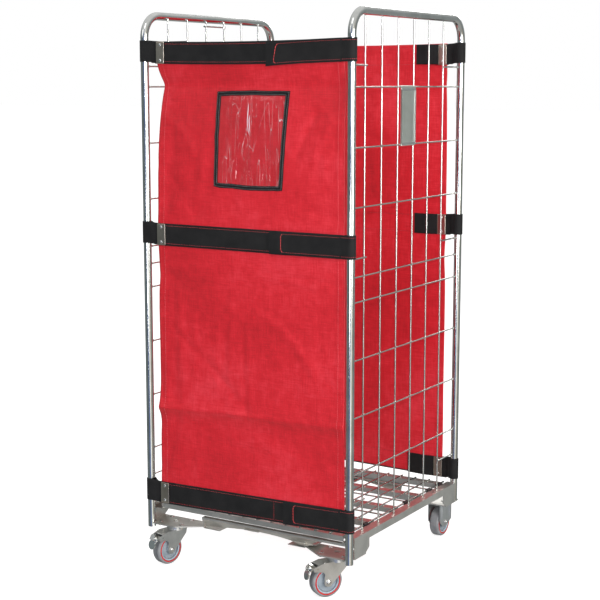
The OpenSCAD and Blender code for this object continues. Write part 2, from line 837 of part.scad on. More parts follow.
at_wheel(LEFT, "rear") hub();  // rear_left_hub
at_wheel(RIGHT, "rear") hub();  // rear_right_hub
at_wheel(LEFT, "rear") tyre();  // rear_left_tyre
at_wheel(RIGHT, "rear") tyre();  // rear_right_tyre
at_origin() cover();  // front_cover
at_origin() turned() cover();  // rear_cover
at_origin() bands();  // front_straps
at_origin() turned() bands();  // rear_straps
front_and_rear() clip_side_loops();  // post_loops
front_and_rear() wrap_side_loops();  // strap_wraps
front_and_rear() clip_pair();  // clip_plates
front_and_rear() clip_rivet_set();  // clip_rivets
pocket_binding();
pocket_window();
deck_bars();
deck_cross_wires();
deck_long_wires();
deck_hinge_rod();
deck_hinge_clips();
at_origin() tail(0);  // front_top_tail
at_origin() tail(1);  // front_middle_tail
at_origin() tail(2);  // front_bottom_tail
at_origin() turned() tail(0);  // rear_top_tail
at_origin() turned() tail(1);  // rear_middle_tail
at_origin() turned() tail(2);  // rear_bottom_tail
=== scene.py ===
import math

import bpy
import numpy as np
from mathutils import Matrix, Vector, noise


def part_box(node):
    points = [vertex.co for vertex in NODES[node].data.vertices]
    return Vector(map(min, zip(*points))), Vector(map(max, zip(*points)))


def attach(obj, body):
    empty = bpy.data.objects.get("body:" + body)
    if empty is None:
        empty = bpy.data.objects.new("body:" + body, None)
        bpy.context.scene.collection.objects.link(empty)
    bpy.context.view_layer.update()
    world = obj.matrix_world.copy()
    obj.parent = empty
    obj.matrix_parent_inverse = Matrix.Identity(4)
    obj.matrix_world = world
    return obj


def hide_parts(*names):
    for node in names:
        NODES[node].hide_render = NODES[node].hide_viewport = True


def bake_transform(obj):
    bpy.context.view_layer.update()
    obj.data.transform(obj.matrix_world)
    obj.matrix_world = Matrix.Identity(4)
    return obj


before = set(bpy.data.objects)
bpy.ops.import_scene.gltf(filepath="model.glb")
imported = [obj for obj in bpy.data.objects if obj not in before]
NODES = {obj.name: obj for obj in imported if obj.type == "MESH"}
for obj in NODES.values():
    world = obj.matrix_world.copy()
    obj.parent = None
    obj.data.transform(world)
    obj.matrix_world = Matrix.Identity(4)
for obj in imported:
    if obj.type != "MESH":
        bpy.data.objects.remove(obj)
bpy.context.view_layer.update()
SCENE = bpy.context.scene
SCENE.view_settings.view_transform = "Standard"

# ------------------------------------------------------------------ dimensions
# Lengths in metres.  The trolley's own frame has its origin on the cage's axis;
# SHIFT_Y moves it to the row frame.
cover_lo, cover_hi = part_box("front_cover")
SHIFT_Y = (cover_lo.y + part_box("rear_cover")[1].y) / 2
COVER_L, COVER_R = cover_lo.x, cover_hi.x
COVER_LOW, COVER_TOP = cover_lo.z, cover_hi.z
COVER_Y = (cover_lo.y + cover_hi.y) / 2 - SHIFT_Y
tube_lo, tube_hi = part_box("right_frame_tube")
TUBE_R = (tube_hi.x - tube_lo.x) / 2
POST_X = (tube_lo.x + tube_hi.x) / 2
POST_Y = (tube_hi.y - tube_lo.y) / 2 - TUBE_R

# The three bands: widths, dip in mid-span, and rise of each end over the free end's middle
LEVELS = ("top", "middle", "bottom")
STRAP_T = 0.0025
WIDTH = {"top": 0.0675, "middle": 0.070, "bottom": 0.0725}
SAG = {"top": -0.0055, "middle": 0.0, "bottom": -0.001}
LEFT_RISE = {"top": 0.0015, "middle": 0.001, "bottom": -0.0045}
RIGHT_RISE = {"top": 0.0025, "middle": -0.001, "bottom": 0.0075}
TAIL_BOX = {level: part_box(f"front_{level}_tail") for level in LEVELS}
LEFT_Z = {level: (lo.z + hi.z) / 2 + LEFT_RISE[level] for level, (lo, hi) in TAIL_BOX.items()}
RIGHT_Z = {level: (lo.z + hi.z) / 2 + RIGHT_RISE[level] for level, (lo, hi) in TAIL_BOX.items()}
TAIL_FREE = {level: lo.x for level, (lo, hi) in TAIL_BOX.items()}
TAIL_HINGE = TAIL_BOX["top"][1].x
TAIL_Y = TAIL_BOX["top"][0].y - SHIFT_Y + STRAP_T / 2
band_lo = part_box("front_straps")[0]
BAND_Y = band_lo.y - SHIFT_Y + STRAP_T / 2
BAND_L = band_lo.x
CREASE_TOP, CREASE_Z = LEFT_Z["top"] - WIDTH["top"] / 2, 1.544

# Rows of stitches: pitch, filled share, thread radius, lift off the surface
BAND_ROW = (0.0062, 0.66, 0.00060, 0.0002)
BOX_ROW = (0.0058, 0.6, 0.0005, 0.0002)
BAR_ROW = (0.0078, 0.97, 0.00105, 0.0003)
HEM_ROW = (0.0056, 0.66, 0.00048, 0.0004)
EDGE_ROW = (0.0056, 0.66, 0.00034, 0.0004)
INSIDE_ROW = (0.0060, 0.66, 0.00055, 0.0004)
POCKET_ROW = (0.0062, 0.62, 0.00045, 0.0001)


def ease(k):
    """Smooth step from 0 to 1."""
    return k * k * (3 - 2 * k)


def fbm(x, y, z, scale, octaves=3):
    """Smooth noise of about -1 to 1."""
    total, gain = 0.0, 1.0
    p = Vector((x, y, z)) * scale
    for _ in range(octaves):
        total += gain * noise.noise(p)
        p = p * 2.03
        gain *= 0.5
    return total


# ------------------------------------------------------------------- materials
class Graph:
    """Short names for making and joining the shader nodes of a material or the world."""

    def __init__(self, owner, output):
        owner.use_nodes = True
        self.nt = owner.node_tree
        self.nt.nodes.clear()
        self.out = self.add(output)

    def add(self, kind, **props):
        node = self.nt.nodes.new(kind)
        for k, v in props.items():
            setattr(node, k, v)
        return node

    def link(self, a, b):
        self.nt.links.new(a, b)

    def math(self, op, a, b=None, c=None, clamp=False):
        n = self.add("ShaderNodeMath", operation=op, use_clamp=clamp)
        for i, v in enumerate((a, b, c)):
            if v is None:
                continue
            if isinstance(v, (int, float)):
                n.inputs[i].default_value = v
            else:
                self.link(v, n.inputs[i])
        return n.outputs[0]

    def map_range(self, socket, low, high, to_low=0.0, to_high=1.0):
        n = self.add("ShaderNodeMapRange")
        self.link(socket, n.inputs[0])
        for i, v in enumerate((low, high, to_low, to_high)):
            n.inputs[i + 1].default_value = v
        return n.outputs[0]

    def ramp(self, fac, stops, interpolation="LINEAR"):
        n = self.add("ShaderNodeValToRGB")
        self.link(fac, n.inputs[0])
        n.color_ramp.interpolation = interpolation
        while len(n.color_ramp.elements) < len(stops):
            n.color_ramp.elements.new(0.5)
        for e, (pos, value) in zip(n.color_ramp.elements, stops):
            e.position = pos
            e.color = (*value, 1) if isinstance(value, tuple) else (value,) * 3 + (1,)
        return n.outputs[0]

    def mix(self, fac, a, b):
        n = self.add("ShaderNodeMix", data_type="RGBA")
        for socket, v in ((n.inputs[0], fac), (n.inputs[6], a), (n.inputs[7], b)):
            if isinstance(v, tuple):
                socket.default_value = (*v, 1)
            elif isinstance(v, (int, float)):
                socket.default_value = v
            else:
                self.link(v, socket)
        return n.outputs[2]


class Mat(Graph):
    """A node material round one Principled shader."""

    def __init__(self, name, colour, rough, metal=0.0, **sockets):
        self.m = bpy.data.materials.new(name)
        super().__init__(self.m, "ShaderNodeOutputMaterial")
        self.b = self.add("ShaderNodeBsdfPrincipled")
        self.link(self.b.outputs[0], self.out.inputs[0])
        self.b.inputs["Base Color"].default_value = (*colour, 1)
        self.b.inputs["Roughness"].default_value = rough
        self.b.inputs["Metallic"].default_value = metal
        for k, v in sockets.items():
            self.b.inputs[k.replace("_", " ")].default_value = v
        self.m.diffuse_color = (*colour, 1)
        self.xyz = self.add("ShaderNodeTexCoord").outputs["Object"]
        self.height = None

    def axes(self):
        """The object's own x, y and z."""
        sep = self.add("ShaderNodeSeparateXYZ")
        self.link(self.xyz, sep.inputs[0])
        return sep.outputs

    def mapped(self, scale, rotate=(0, 0, 0)):
        n = self.add("ShaderNodeMapping")
        self.link(self.xyz, n.inputs["Vector"])
        n.inputs["Scale"].default_value = scale
        n.inputs["Rotation"].default_value = rotate
        return n.outputs[0]

    def noise(self, scale, detail=3.0, rough=0.55, vector=None, distortion=0.0):
        n = self.add("ShaderNodeTexNoise")
        self.link(vector or self.xyz, n.inputs["Vector"])
        n.inputs["Scale"].default_value = scale
        n.inputs["Detail"].default_value = detail
        n.inputs["Roughness"].default_value = rough
        n.inputs["Distortion"].default_value = distortion
        return n.outputs["Fac"]

    def colour(self, socket):
        self.link(socket, self.b.inputs["Base Color"])

    def rough(self, socket, low, high):
        self.link(self.map_range(socket, 0.0, 1.0, low, high), self.b.inputs["Roughness"])

    def bump(self, socket, strength, distance):
        n = self.add("ShaderNodeBump")
        n.inputs["Strength"].default_value = strength
        n.inputs["Distance"].default_value = distance
        self.link(socket, n.inputs["Height"])
        if self.height is not None:
            self.link(self.height, n.inputs["Normal"])
        self.height = n.outputs[0]
        self.link(self.height, self.b.inputs["Normal"])


def zinc(name, colour, dark, rough, spread=0.1, streak=(40, 40, 3), metal=1.0):
    """Bright zinc plate: soft cloudy tone, fine drawn lines along the piece, small pits."""
    t = Mat(name, colour, rough, metal)
    cloud = t.noise(14, 4)
    lines = t.noise(30, 4, vector=t.mapped(streak))
    tone = t.math("ADD", t.math("MULTIPLY", cloud, 0.6), t.math("MULTIPLY", lines, 0.4))
    t.colour(t.ramp(tone, [(0.32, dark), (0.62, colour)]))
    t.rough(t.math("ADD", t.math("MULTIPLY", lines, 0.5), t.math("MULTIPLY", cloud, 0.5)),
            rough - spread, rough + spread)
    t.bump(t.noise(900, 2), 0.05, 0.0002)
    t.bump(cloud, 0.12, 0.002)
    return t.m


M_TUBE = zinc("zinc_tube", (0.74, 0.75, 0.73), (0.52, 0.53, 0.51), 0.15, 0.06)
M_WIRE = zinc("zinc_wire", (0.68, 0.69, 0.66), (0.44, 0.45, 0.42), 0.24, 0.08)
M_SHEET = zinc("zinc_sheet", (0.72, 0.70, 0.655), (0.50, 0.485, 0.45), 0.38, 0.1, (6, 60, 60), 0.86)
M_PLATE = zinc("zinc_label_plate", (0.78, 0.81, 0.75), (0.62, 0.65, 0.59), 0.45, 0.08)
M_BRIGHT = zinc("bright_fastener", (0.84, 0.84, 0.82), (0.66, 0.66, 0.64), 0.16, 0.05)
M_CLIP = zinc("bright_clip", (0.60, 0.54, 0.46), (0.42, 0.36, 0.29), 0.30, 0.08)
M_FORK = zinc("satin_fork", (0.76, 0.76, 0.75), (0.54, 0.54, 0.53), 0.30, 0.08, metal=0.92)


def weave_heights(t, pitch_u, pitch_v, u, v):
    """Over-and-under relief of a plain weave with thread pitches in metres."""
    across = t.math("SINE", t.math("MULTIPLY", u, math.pi / pitch_u))
    along = t.math("SINE", t.math("MULTIPLY", v, math.pi / pitch_v))
    return t.math("MULTIPLY", across, along)


def cloth_material():
    """Red coated tape-woven cloth: fine grid with a slight painted shade in its hollows, slubs, soft
    fading and a dull gloss.
    """
    base, deep, faded = (0.66, 0.010, 0.021), (0.47, 0.006, 0.013), (0.82, 0.044, 0.066)
    t = Mat("red_cloth", base, 0.5, Sheen_Weight=0.09, Sheen_Roughness=0.4,
            Coat_Weight=0.08, Coat_Roughness=0.30, Specular_IOR_Level=0.42)
    x, _, z = t.axes()
    checks = weave_heights(t, 0.0021, 0.0021, x, z)
    slub_h = t.noise(55, 3, vector=t.mapped((0.35, 1, 9)))
    slub_v = t.noise(55, 3, vector=t.mapped((9, 1, 0.35)))
    broad = t.noise(3.2, 3, 0.5)
    mottled = t.noise(36, 4, 0.6)
    tone = t.math("ADD", t.math("MULTIPLY", broad, 0.36),
                  t.math("ADD", t.math("MULTIPLY", mottled, 0.17),
                         t.math("MULTIPLY", t.math("ADD", slub_h, slub_v), 0.20)))
    # The weave's crossings tint the colour: painted shade, a little lighter on the crests and darker in
    # the hollows
    tone = t.math("ADD", t.math("ADD", tone, 0.045), t.math("MULTIPLY", checks, 0.03))
    t.colour(t.ramp(tone, [(0.38, deep), (0.52, base), (0.66, faded)]))
    t.rough(t.math("ADD", t.math("MULTIPLY", mottled, 0.6), t.math("MULTIPLY", slub_v, 0.4)),
            0.38, 0.62)
    t.bump(checks, 0.25, 0.00025)
    t.bump(t.math("ADD", slub_h, slub_v), 0.42, 0.0008)
    t.bump(t.noise(26, 4, 0.6, distortion=0.4), 0.55, 0.004)
    return t.m


def webbing_material(name="black_webbing", base=(0.004, 0.004, 0.0045), top=(0.022, 0.021, 0.021)):
    """Black nylon webbing: lengthwise ribs crossed by fine picks, with lint; lighter on the crests of
    ribs and picks and darker between them as painted shade, and with cloudy patches that are partly worn
    spots and partly painted sheen.
    """
    t = Mat(name, base, 0.72, Sheen_Weight=0.05, Sheen_Roughness=0.4, Specular_IOR_Level=0.25)
    t.b.inputs["Sheen Tint"].default_value = (0.7, 0.72, 0.8, 1)
    x, y, z = t.axes()
    checks = weave_heights(t, 0.0016, 0.0011, t.math("ADD", x, y), z)
    ribs = t.math("ABSOLUTE", t.math("SINE", t.math("MULTIPLY", z, math.pi / 0.0022)))
    wear_and_sheen = t.noise(28, 4, 0.6)
    # Painted shade: crests of the ribs and picks lighter, grooves darker; the noise patches are partly
    # worn spots and partly painted sheen
    tone = t.math("ADD", t.math("MULTIPLY", checks, 0.12),
                  t.math("ADD", t.math("MULTIPLY", ribs, 0.22), t.math("MULTIPLY", wear_and_sheen, 0.6)))
    t.colour(t.ramp(tone, [(0.25, base), (0.75, top)]))
    t.rough(wear_and_sheen, 0.6, 0.85)
    t.bump(ribs, 0.25, 0.0003)
    t.bump(checks, 0.35, 0.0003)
    t.bump(t.noise(60, 3), 0.2, 0.001)
    return t.m


def thread_material(name, colour, dark):
    t = Mat(name, colour, 0.45, Sheen_Weight=0.3)
    twist = t.add("ShaderNodeTexWave", wave_type="BANDS", bands_direction="DIAGONAL")
    t.link(t.xyz, twist.inputs["Vector"])
    twist.inputs["Scale"].default_value = 900
    # The twist's grooves take the darker colour: painted shade
    t.colour(t.mix(twist.outputs["Fac"], dark, colour))
    t.bump(twist.outputs["Fac"], 0.4, 0.0002)
    return t.m


def plastic(name, colour, light, rough, bump=0.2, scale=420, **sockets):
    t = Mat(name, colour, rough, **sockets)
    grain = t.noise(scale, 3)
    cloud = t.noise(40, 3)
    t.colour(t.ramp(cloud, [(0.35, colour), (0.7, light)]))
    t.rough(grain, rough - 0.08, rough + 0.08)
    t.bump(grain, bump, 0.0003)
    return t.m


def film_material():
    """Clear soft film: see-through, with painted highlights: pale wrinkle lines and two glowing glints.
    """
    t = Mat("clear_film", (0.96, 0.90, 0.90), 0.08)
    clear = t.add("ShaderNodeBsdfTransparent")
    clear.inputs[0].default_value = (0.985, 0.98, 0.98, 1)
    gloss = t.add("ShaderNodeBsdfGlossy")
    gloss.inputs["Roughness"].default_value = 0.06
    graze = t.add("ShaderNodeLayerWeight")
    graze.inputs[0].default_value = 0.5
    haze = t.noise(22, 4, 0.6, vector=t.mapped((3, 1, 0.4)))
    edge_on = t.math("MULTIPLY", t.math("POWER", graze.outputs["Facing"], 5.0), 0.5)
    shine = t.math("ADD", t.math("ADD", edge_on, 0.03), t.math("MULTIPLY", haze, 0.02), clamp=True)
    see = t.add("ShaderNodeMixShader")
    t.link(shine, see.inputs[0])
    t.link(clear.outputs[0], see.inputs[1])
    t.link(gloss.outputs[0], see.inputs[2])
    # Painted highlights: thin pale lines, mostly upright, that stand in for the shine along the film's
    # creases
    lines = None
    for scale, lean, width, gain in (((26, 1, 1.7), 0.05, 0.0048, 0.62),
                                     ((20, 1, 3.2), -0.16, 0.0036, 0.60),
                                     ((46, 1, 4.0), 0.22, 0.0050, 0.34)):
        wavy = t.noise(1.0, 2, 0.5, vector=t.mapped(scale, (0, lean, 0)), distortion=0.3)
        off = t.math("ABSOLUTE", t.math("SUBTRACT", wavy, 0.5))
        line = t.math("SUBTRACT", 1.0, t.math("DIVIDE", off, width), clamp=True)
        patch = t.noise(13, 2, 0.5, vector=t.mapped((1.5, 1, 1.0), (0, 0.4, 0)))
        line = t.math("MULTIPLY", t.math("MULTIPLY", line, gain),
                      t.math("MULTIPLY", t.math("SUBTRACT", patch, 0.36, clamp=True), 3.6, clamp=True))
        lines = line if lines is None else t.math("ADD", lines, line, clamp=True)
    # Painted highlights: two bright glints in the upper middle, which glow as an emission instead of
    # mirroring a lamp
    across, _, up = t.axes()
    sway = t.math("MULTIPLY", t.noise(38, 2, 0.5, vector=t.mapped((0.2, 0.2, 1.0))), 0.006)
    glint = None
    for x, z, half in ((0.016, 1.447, 0.045), (0.0225, 1.425, 0.030)):
        off = t.math("ABSOLUTE", t.math("SUBTRACT", t.math("ADD", across, sway), x + 0.003))
        line = t.math("SUBTRACT", 1.0, t.math("DIVIDE", off, 0.0016), clamp=True)
        end = t.math("DIVIDE", t.math("ABSOLUTE", t.math("SUBTRACT", up, z)), half)
        line = t.math("MULTIPLY", line, t.math("MULTIPLY", t.math("SUBTRACT", 1.0, end, clamp=True), 2.2,
                                               clamp=True))
        glint = line if glint is None else t.math("ADD", glint, line, clamp=True)
    # The glints' glowing white: a painted highlight
    white = t.add("ShaderNodeEmission")
    white.inputs[0].default_value = (0.93, 0.90, 1.0, 1)
    white.inputs[1].default_value = 0.95
    # Pale diffuse colour of the crease lines: painted highlight
    pale = t.add("ShaderNodeBsdfDiffuse")
    pale.inputs[0].default_value = (0.95, 0.74, 0.76, 1)
    mix = t.add("ShaderNodeMixShader")
    t.link(lines, mix.inputs[0])
    t.link(see.outputs[0], mix.inputs[1])
    t.link(pale.outputs[0], mix.inputs[2])
    shining = t.add("ShaderNodeMixShader")
    t.link(glint, shining.inputs[0])
    t.link(mix.outputs[0], shining.inputs[1])
    t.link(white.outputs[0], shining.inputs[2])
    t.link(shining.outputs[0], t.out.inputs[0])
    bump = t.add("ShaderNodeBump")
    bump.inputs["Strength"].default_value = 0.35
    bump.inputs["Distance"].default_value = 0.002
    t.link(t.noise(90, 3, 0.5, vector=t.mapped((1.8, 1, 0.35))), bump.inputs["Height"])
    t.link(bump.outputs[0], gloss.inputs["Normal"])
    t.nt.nodes.remove(t.b)
    return t.m


M_CLOTH = cloth_material()
M_WEB = webbing_material()
M_BINDING = webbing_material("black_binding", (0.005, 0.005, 0.0055), (0.017, 0.017, 0.019))
M_RED_THREAD = thread_material("red_thread", (0.80, 0.05, 0.06), (0.45, 0.015, 0.02))
M_BAR_THREAD = thread_material("bright_red_thread", (0.90, 0.07, 0.07), (0.6, 0.02, 0.03))
M_HEM_THREAD = thread_material("pale_red_thread", (0.86, 0.22, 0.24), (0.60, 0.06, 0.08))
M_FAINT_THREAD = thread_material("faint_red_thread", (0.72, 0.06, 0.08), (0.50, 0.02, 0.03))
M_DARK_THREAD = thread_material("dark_red_thread", (0.30, 0.01, 0.015), (0.12, 0.004, 0.006))
M_GREY_THREAD = thread_material("grey_thread", (0.42, 0.41, 0.41), (0.18, 0.18, 0.18))
M_FILM = film_material()
M_HUB = plastic("hub_plastic", (0.24, 0.28, 0.32), (0.32, 0.36, 0.40), 0.42, 0.1)
M_TYRE = plastic("tyre_rubber", (0.20, 0.205, 0.215), (0.30, 0.305, 0.31), 0.6, 0.25)
M_RIM = plastic("rim_plastic", (0.42, 0.52, 0.60), (0.52, 0.60, 0.67), 0.4, 0.1)
M_RING = plastic("red_ring", (0.50, 0.004, 0.006), (0.60, 0.010, 0.012), 0.45, 0.15)
M_BLACK = plastic("black_plastic", (0.012, 0.012, 0.013), (0.03, 0.03, 0.032), 0.4, 0.2)


# --------------------------------------------------------------- mesh building
def make(name, verts, faces, material, body="root", smooth=True, replaces=()):
    """A mesh object that rides on a body."""
    mesh = bpy.data.meshes.new(name)
    mesh.from_pydata([tuple(map(float, v)) for v in verts], [], [tuple(map(int, f)) for f in faces])
    mesh.validate()
    if smooth:
        mesh.shade_smooth()
        mesh.set_sharp_from_angle(angle=math.radians(50))
    mesh.materials.append(material)
    obj = bpy.data.objects.new(name, mesh)
    SCENE.collection.objects.link(obj)
    if body:
        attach(obj, body)
    if replaces:
        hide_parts(*replaces)
    return obj


def placed(points, rear=False):
    """Points of the front, or turned to the rear, moved to the row frame."""
    p = np.array(points, float).reshape(-1, 3).copy()
    if rear:
        p[:, 0] *= -1
        p[:, 1] *= -1
    p[:, 1] += SHIFT_Y
    return p


class Pile:
    """Many small closed shapes gathered in one mesh."""

    def __init__(self):
        self.v, self.f = [], []

    def add(self, verts, faces):
        base = len(self.v)
        self.v.extend(verts)
        self.f.extend([tuple(base + i for i in f) for f in faces])

    def blob(self, centre, axes, rings=5, around=8):
        """Ellipsoid with half axes as three vectors."""
        a, b, c = (np.array(x, float) for x in axes)
        centre = np.array(centre, float)
        verts = [centre - c]
        for i in range(1, rings):
            lat = math.pi * i / rings - math.pi / 2
            for j in range(around):
                lon = 2 * math.pi * j / around
                verts.append(centre + math.cos(lat) * (math.cos(lon) * a + math.sin(lon) * b)
                             + math.sin(lat) * c)
        verts.append(centre + c)
        faces = [(0, 1 + (j + 1) % around, 1 + j) for j in range(around)]
        for i in range(rings - 2):
            r0, r1 = 1 + i * around, 1 + (i + 1) * around
            for j in range(around):
                k = (j + 1) % around
                faces.append((r0 + j, r0 + k, r1 + k, r1 + j))
        top, r = len(verts) - 1, 1 + (rings - 2) * around
        faces += [(r + j, r + (j + 1) % around, top) for j in range(around)]
        self.add(verts, faces)

    def stitches(self, spots, row):
        """A row of stitches along a path on a surface, given as (place, normal) pairs."""
        pitch, fill, radius, lift = row
        path = np.array([p for p, _ in spots], float)
        normals = np.array([n for _, n in spots], float)
        step = np.linalg.norm(np.diff(path, axis=0), axis=1)
        s = np.concatenate([[0], np.cumsum(step)])
        count = int(s[-1] // pitch)
        for i in range(count):
            mid = (i + 0.5) * s[-1] / count
            half = pitch * fill / 2
            p0, pm, p1 = (np.array([np.interp(q, s, path[:, k]) for k in range(3)])
                          for q in (mid - half, mid, mid + half))
            nm = np.array([np.interp(mid, s, normals[:, k]) for k in range(3)])
            nm = nm / np.linalg.norm(nm)
            along = (p1 - p0) / 2
            side = np.cross(along / np.linalg.norm(along), nm)
            self.blob(pm + nm * lift, (side * radius, nm * radius, along), 4, 6)


def sweep(centres, sides, lifts, profile, closed=False):
    """Sweeps a closed profile of (across, lift) points along centres; sides and lifts are
    the unit vectors of the two profile directions at each centre."""
    m = len(profile)
    verts = []
    for c, s, n in zip(centres, sides, lifts):
        for a, h in profile:
            verts.append(c + s * a + n * h)
    faces = []
    rings = len(centres)
    for i in range(rings if closed else rings - 1):
        j = (i + 1) % rings
        for k in range(m):
            l = (k + 1) % m
            faces.append((i * m + k, i * m + l, j * m + l, j * m + k))
    if not closed:
        faces.append(tuple(range(m - 1, -1, -1)))
        faces.append(tuple((rings - 1) * m + k for k in range(m)))
    return verts, faces


def band_profile(width, thick, across=12):
    """Closed outline of a webbing with rounded edges, as (across, lift)."""
    half, t = width / 2, thick / 2
    top = [(half - t * 0.7) * (1 - 2 * i / across) for i in range(across + 1)]
    out = [(a, t) for a in top]
    out += [(-half + t * 0.25, t * 0.7), (-half, 0.0), (-half + t * 0.25, -t * 0.7)]
    out += [(-a, -t) for a in top]
    out += [(half - t * 0.25, -t * 0.7), (half, 0.0), (half - t * 0.25, t * 0.7)]
    return out


UP = np.array([0.0, 0.0, 1.0])


def plan_path(points, step=0.006):
    """Evenly spaced points along a polyline in plan, with its running length."""
    p = np.array(points, float)
    s = np.concatenate([[0], np.cumsum(np.linalg.norm(np.diff(p, axis=0), axis=1))])
    n = max(2, int(round(s[-1] / step)) + 1)
    q = np.linspace(0, s[-1], n)
    return np.stack([np.interp(q, s, p[:, k]) for k in range(p.shape[1])], 1), q


def webbing(points, width, thick, rear, wave=0.0, seed=0.0, step=0.006, tilt=None):
    """A band of webbing along plan points (x, y, middle height). Returns its mesh data and a
    function that gives place and normal at a running length and height above the middle."""
    path, s = plan_path(points, step)
    xy = path[:, :2]
    tangent = np.gradient(xy, axis=0)
    tangent /= np.linalg.norm(tangent, axis=1)[:, None]
    right = np.stack([tangent[:, 1], -tangent[:, 0], np.zeros(len(s))], 1)
    centres = np.concatenate([xy, path[:, 2:3]], 1)
    if wave:
        for i, q in enumerate(s):
            centres[i] += right[i] * wave * fbm(q, seed, 0.3, 9, 2)
            centres[i][2] += 0.6 * wave * fbm(q, seed, 5.3, 5, 2)
    ups = np.repeat(UP[None, :], len(s), 0)
    if tilt is not None:
        for i, q in enumerate(s):
            ups[i] = UP + right[i] * tilt(q)
    verts, faces = sweep(centres, ups, right, band_profile(width, thick))
    verts = placed(verts, rear)

    def at(q, across, face):
        """Place and outward normal on the right (face 1) or left (face -1) side."""
        c = np.array([np.interp(q, s, centres[:, k]) for k in range(3)])
        r = np.array([np.interp(q, s, right[:, k]) for k in range(3)])
        r /= np.linalg.norm(r)
        p = c + UP * across + r * face * thick / 2
        n = r * face
        if rear:
            return placed(p, True)[0], n * np.array([-1, -1, 1])
        return placed(p)[0], n

    return verts, faces, at, s[-1]


def row_on(at, q0, q1, across, face, step=0.004):
    n = max(2, int((q1 - q0) / step))
    return [at(q, across, face) for q in np.linspace(q0, q1, n)]


# ---------------------------------------------------------------------- camera
def set_camera():
    yaw, pitch = math.radians(31.25), math.radians(8.67)
    data = bpy.data.cameras.new("camera")
    data.sensor_width = 36
    data.lens = 85.3
    data.clip_start, data.clip_end = 0.05, 300
    cam = bpy.data.objects.new("camera", data)
    SCENE.collection.objects.link(cam)
    forward = Vector((-math.sin(yaw) * math.cos(pitch), math.cos(yaw) * math.cos(pitch),
                      -math.sin(pitch)))
    cam.location = (2.371, -3.950 + SHIFT_Y, 1.548)
    quat = forward.to_track_quat("-Z", "Y")
    cam.rotation_mode = "QUATERNION"
    cam.rotation_quaternion = quat
    SCENE.camera = cam


# Once round the studio: place from 0 to 1, colour. A dark side, a blue line, a white band.
AROUND = (
    (0.00, (0.16, 0.19, 0.20)), (0.10, (0.24, 0.28, 0.29)), (0.19, (0.15, 0.18, 0.20)),
    (0.25, (0.20, 0.26, 0.34)), (0.275, (0.10, 0.17, 0.56)), (0.295, (0.10, 0.17, 0.56)),
    (0.315, (0.34, 0.42, 0.52)), (0.345, (0.62, 0.65, 0.66)),
    (0.372, (1.9, 1.9, 1.85)), (0.405, (1.9, 1.88, 1.8)), (0.435, (0.60, 0.56, 0.49)),
    (0.52, (0.52, 0.47, 0.39)), (0.57, (0.26, 0.29, 0.29)), (0.66, (0.38, 0.41, 0.41)),
    (0.76, (0.22, 0.25, 0.26)), (0.86, (0.42, 0.45, 0.45)), (0.93, (0.20, 0.23, 0.24)),
    (1.0, (0.16, 0.19, 0.20)))


def set_world():
    """A studio that the metal mirrors, white overhead and grey underfoot; seen straight, it
    is plain white."""
    world = bpy.data.worlds.new("studio")
    SCENE.world = world
    g = Graph(world, "ShaderNodeOutputWorld")
    sep = g.add("ShaderNodeSeparateXYZ")
    g.link(g.add("ShaderNodeTexCoord").outputs["Generated"], sep.inputs[0])
    x, y, z = sep.outputs
    turn = g.math("MULTIPLY_ADD", g.math("ARCTAN2", y, x), 1 / (2 * math.pi), 0.5)
    sides = g.ramp(turn, AROUND, "EASE")
    overhead = g.mix(g.map_range(z, 0.12, 0.7), sides, (1.0, 1.0, 1.0))
    mirrored = g.mix(g.map_range(z, -0.28, -0.60), overhead, (0.50, 0.50, 0.485))
    studio = g.add("ShaderNodeBackground")
    studio.inputs[1].default_value = 0.80
    g.link(mirrored, studio.inputs[0])
    plain = g.add("ShaderNodeBackground")
    plain.inputs[0].default_value = (1, 1, 1, 1)
    plain.inputs[1].default_value = 1.0
    mix = g.add("ShaderNodeMixShader")
    g.link(g.add("ShaderNodeLightPath").outputs["Is Camera Ray"], mix.inputs[0])
    g.link(studio.outputs[0], mix.inputs[1])
    g.link(plain.outputs[0], mix.inputs[2])
    g.link(mix.outputs[0], g.out.inputs[0])


def set_lights():
    def area(name, place, target, size, power):
        data = bpy.data.lights.new(name, "AREA")
        data.shape = "RECTANGLE"
        data.size, data.size_y = size
        data.energy = power
        lamp = bpy.data.objects.new(name, data)
        SCENE.collection.objects.link(lamp)
        lamp.location = place
        lamp.rotation_mode = "QUATERNION"
        lamp.rotation_quaternion = (Vector(target) - Vector(place)).to_track_quat("-Z", "Y")

    area("key", (-1.6, -4.2, 3.4), (0, 0, 0.9), (1.8, 1.8), 14)
    area("over", (0.3, -2.3, 4.2), (0, 0.1, 0.9), (1.3, 1.3), 12)
    area("low", (0.9, -4.4, 0.5), (0, 0, 0.5), (0.9, 0.7), 18)
    area("fill", (4.2, -1.5, 1.7), (0, 0.1, 0.5), (1.6, 1.6), 90)
    area("flash", (2.40, -3.97, 1.69), (0, 0, 0.8), (0.06, 0.06), 40)
    area("inside", (2.3, -0.9, 1.1), (0, 0.42, 0.9), (0.8, 0.8), 9)
    area("back", (-1.0, 4.4, 3.2), (0, 0, 0.9), (2.4, 1.6), 56)


def set_floor():
    t = Mat("floor_paper", (0.60, 0.60, 0.598), 0.9, Specular_IOR_Level=0.1)
    t.colour(t.ramp(t.noise(3, 3), [(0.3, (0.595, 0.595, 0.592)), (0.7, (0.605, 0.605, 0.602))]))
    t.b.inputs["Emission Color"].default_value = (1, 1, 0.995, 1)
    t.b.inputs["Emission Strength"].default_value = 0.72
    size = 70.0
    floor = make("floor", [(-size, -size, 0), (size, -size, 0), (size, size, 0), (-size, size, 0)],
                 [(0, 1, 2, 3)], t.m, body=None, smooth=False)
    floor.visible_glossy = floor.visible_diffuse = False


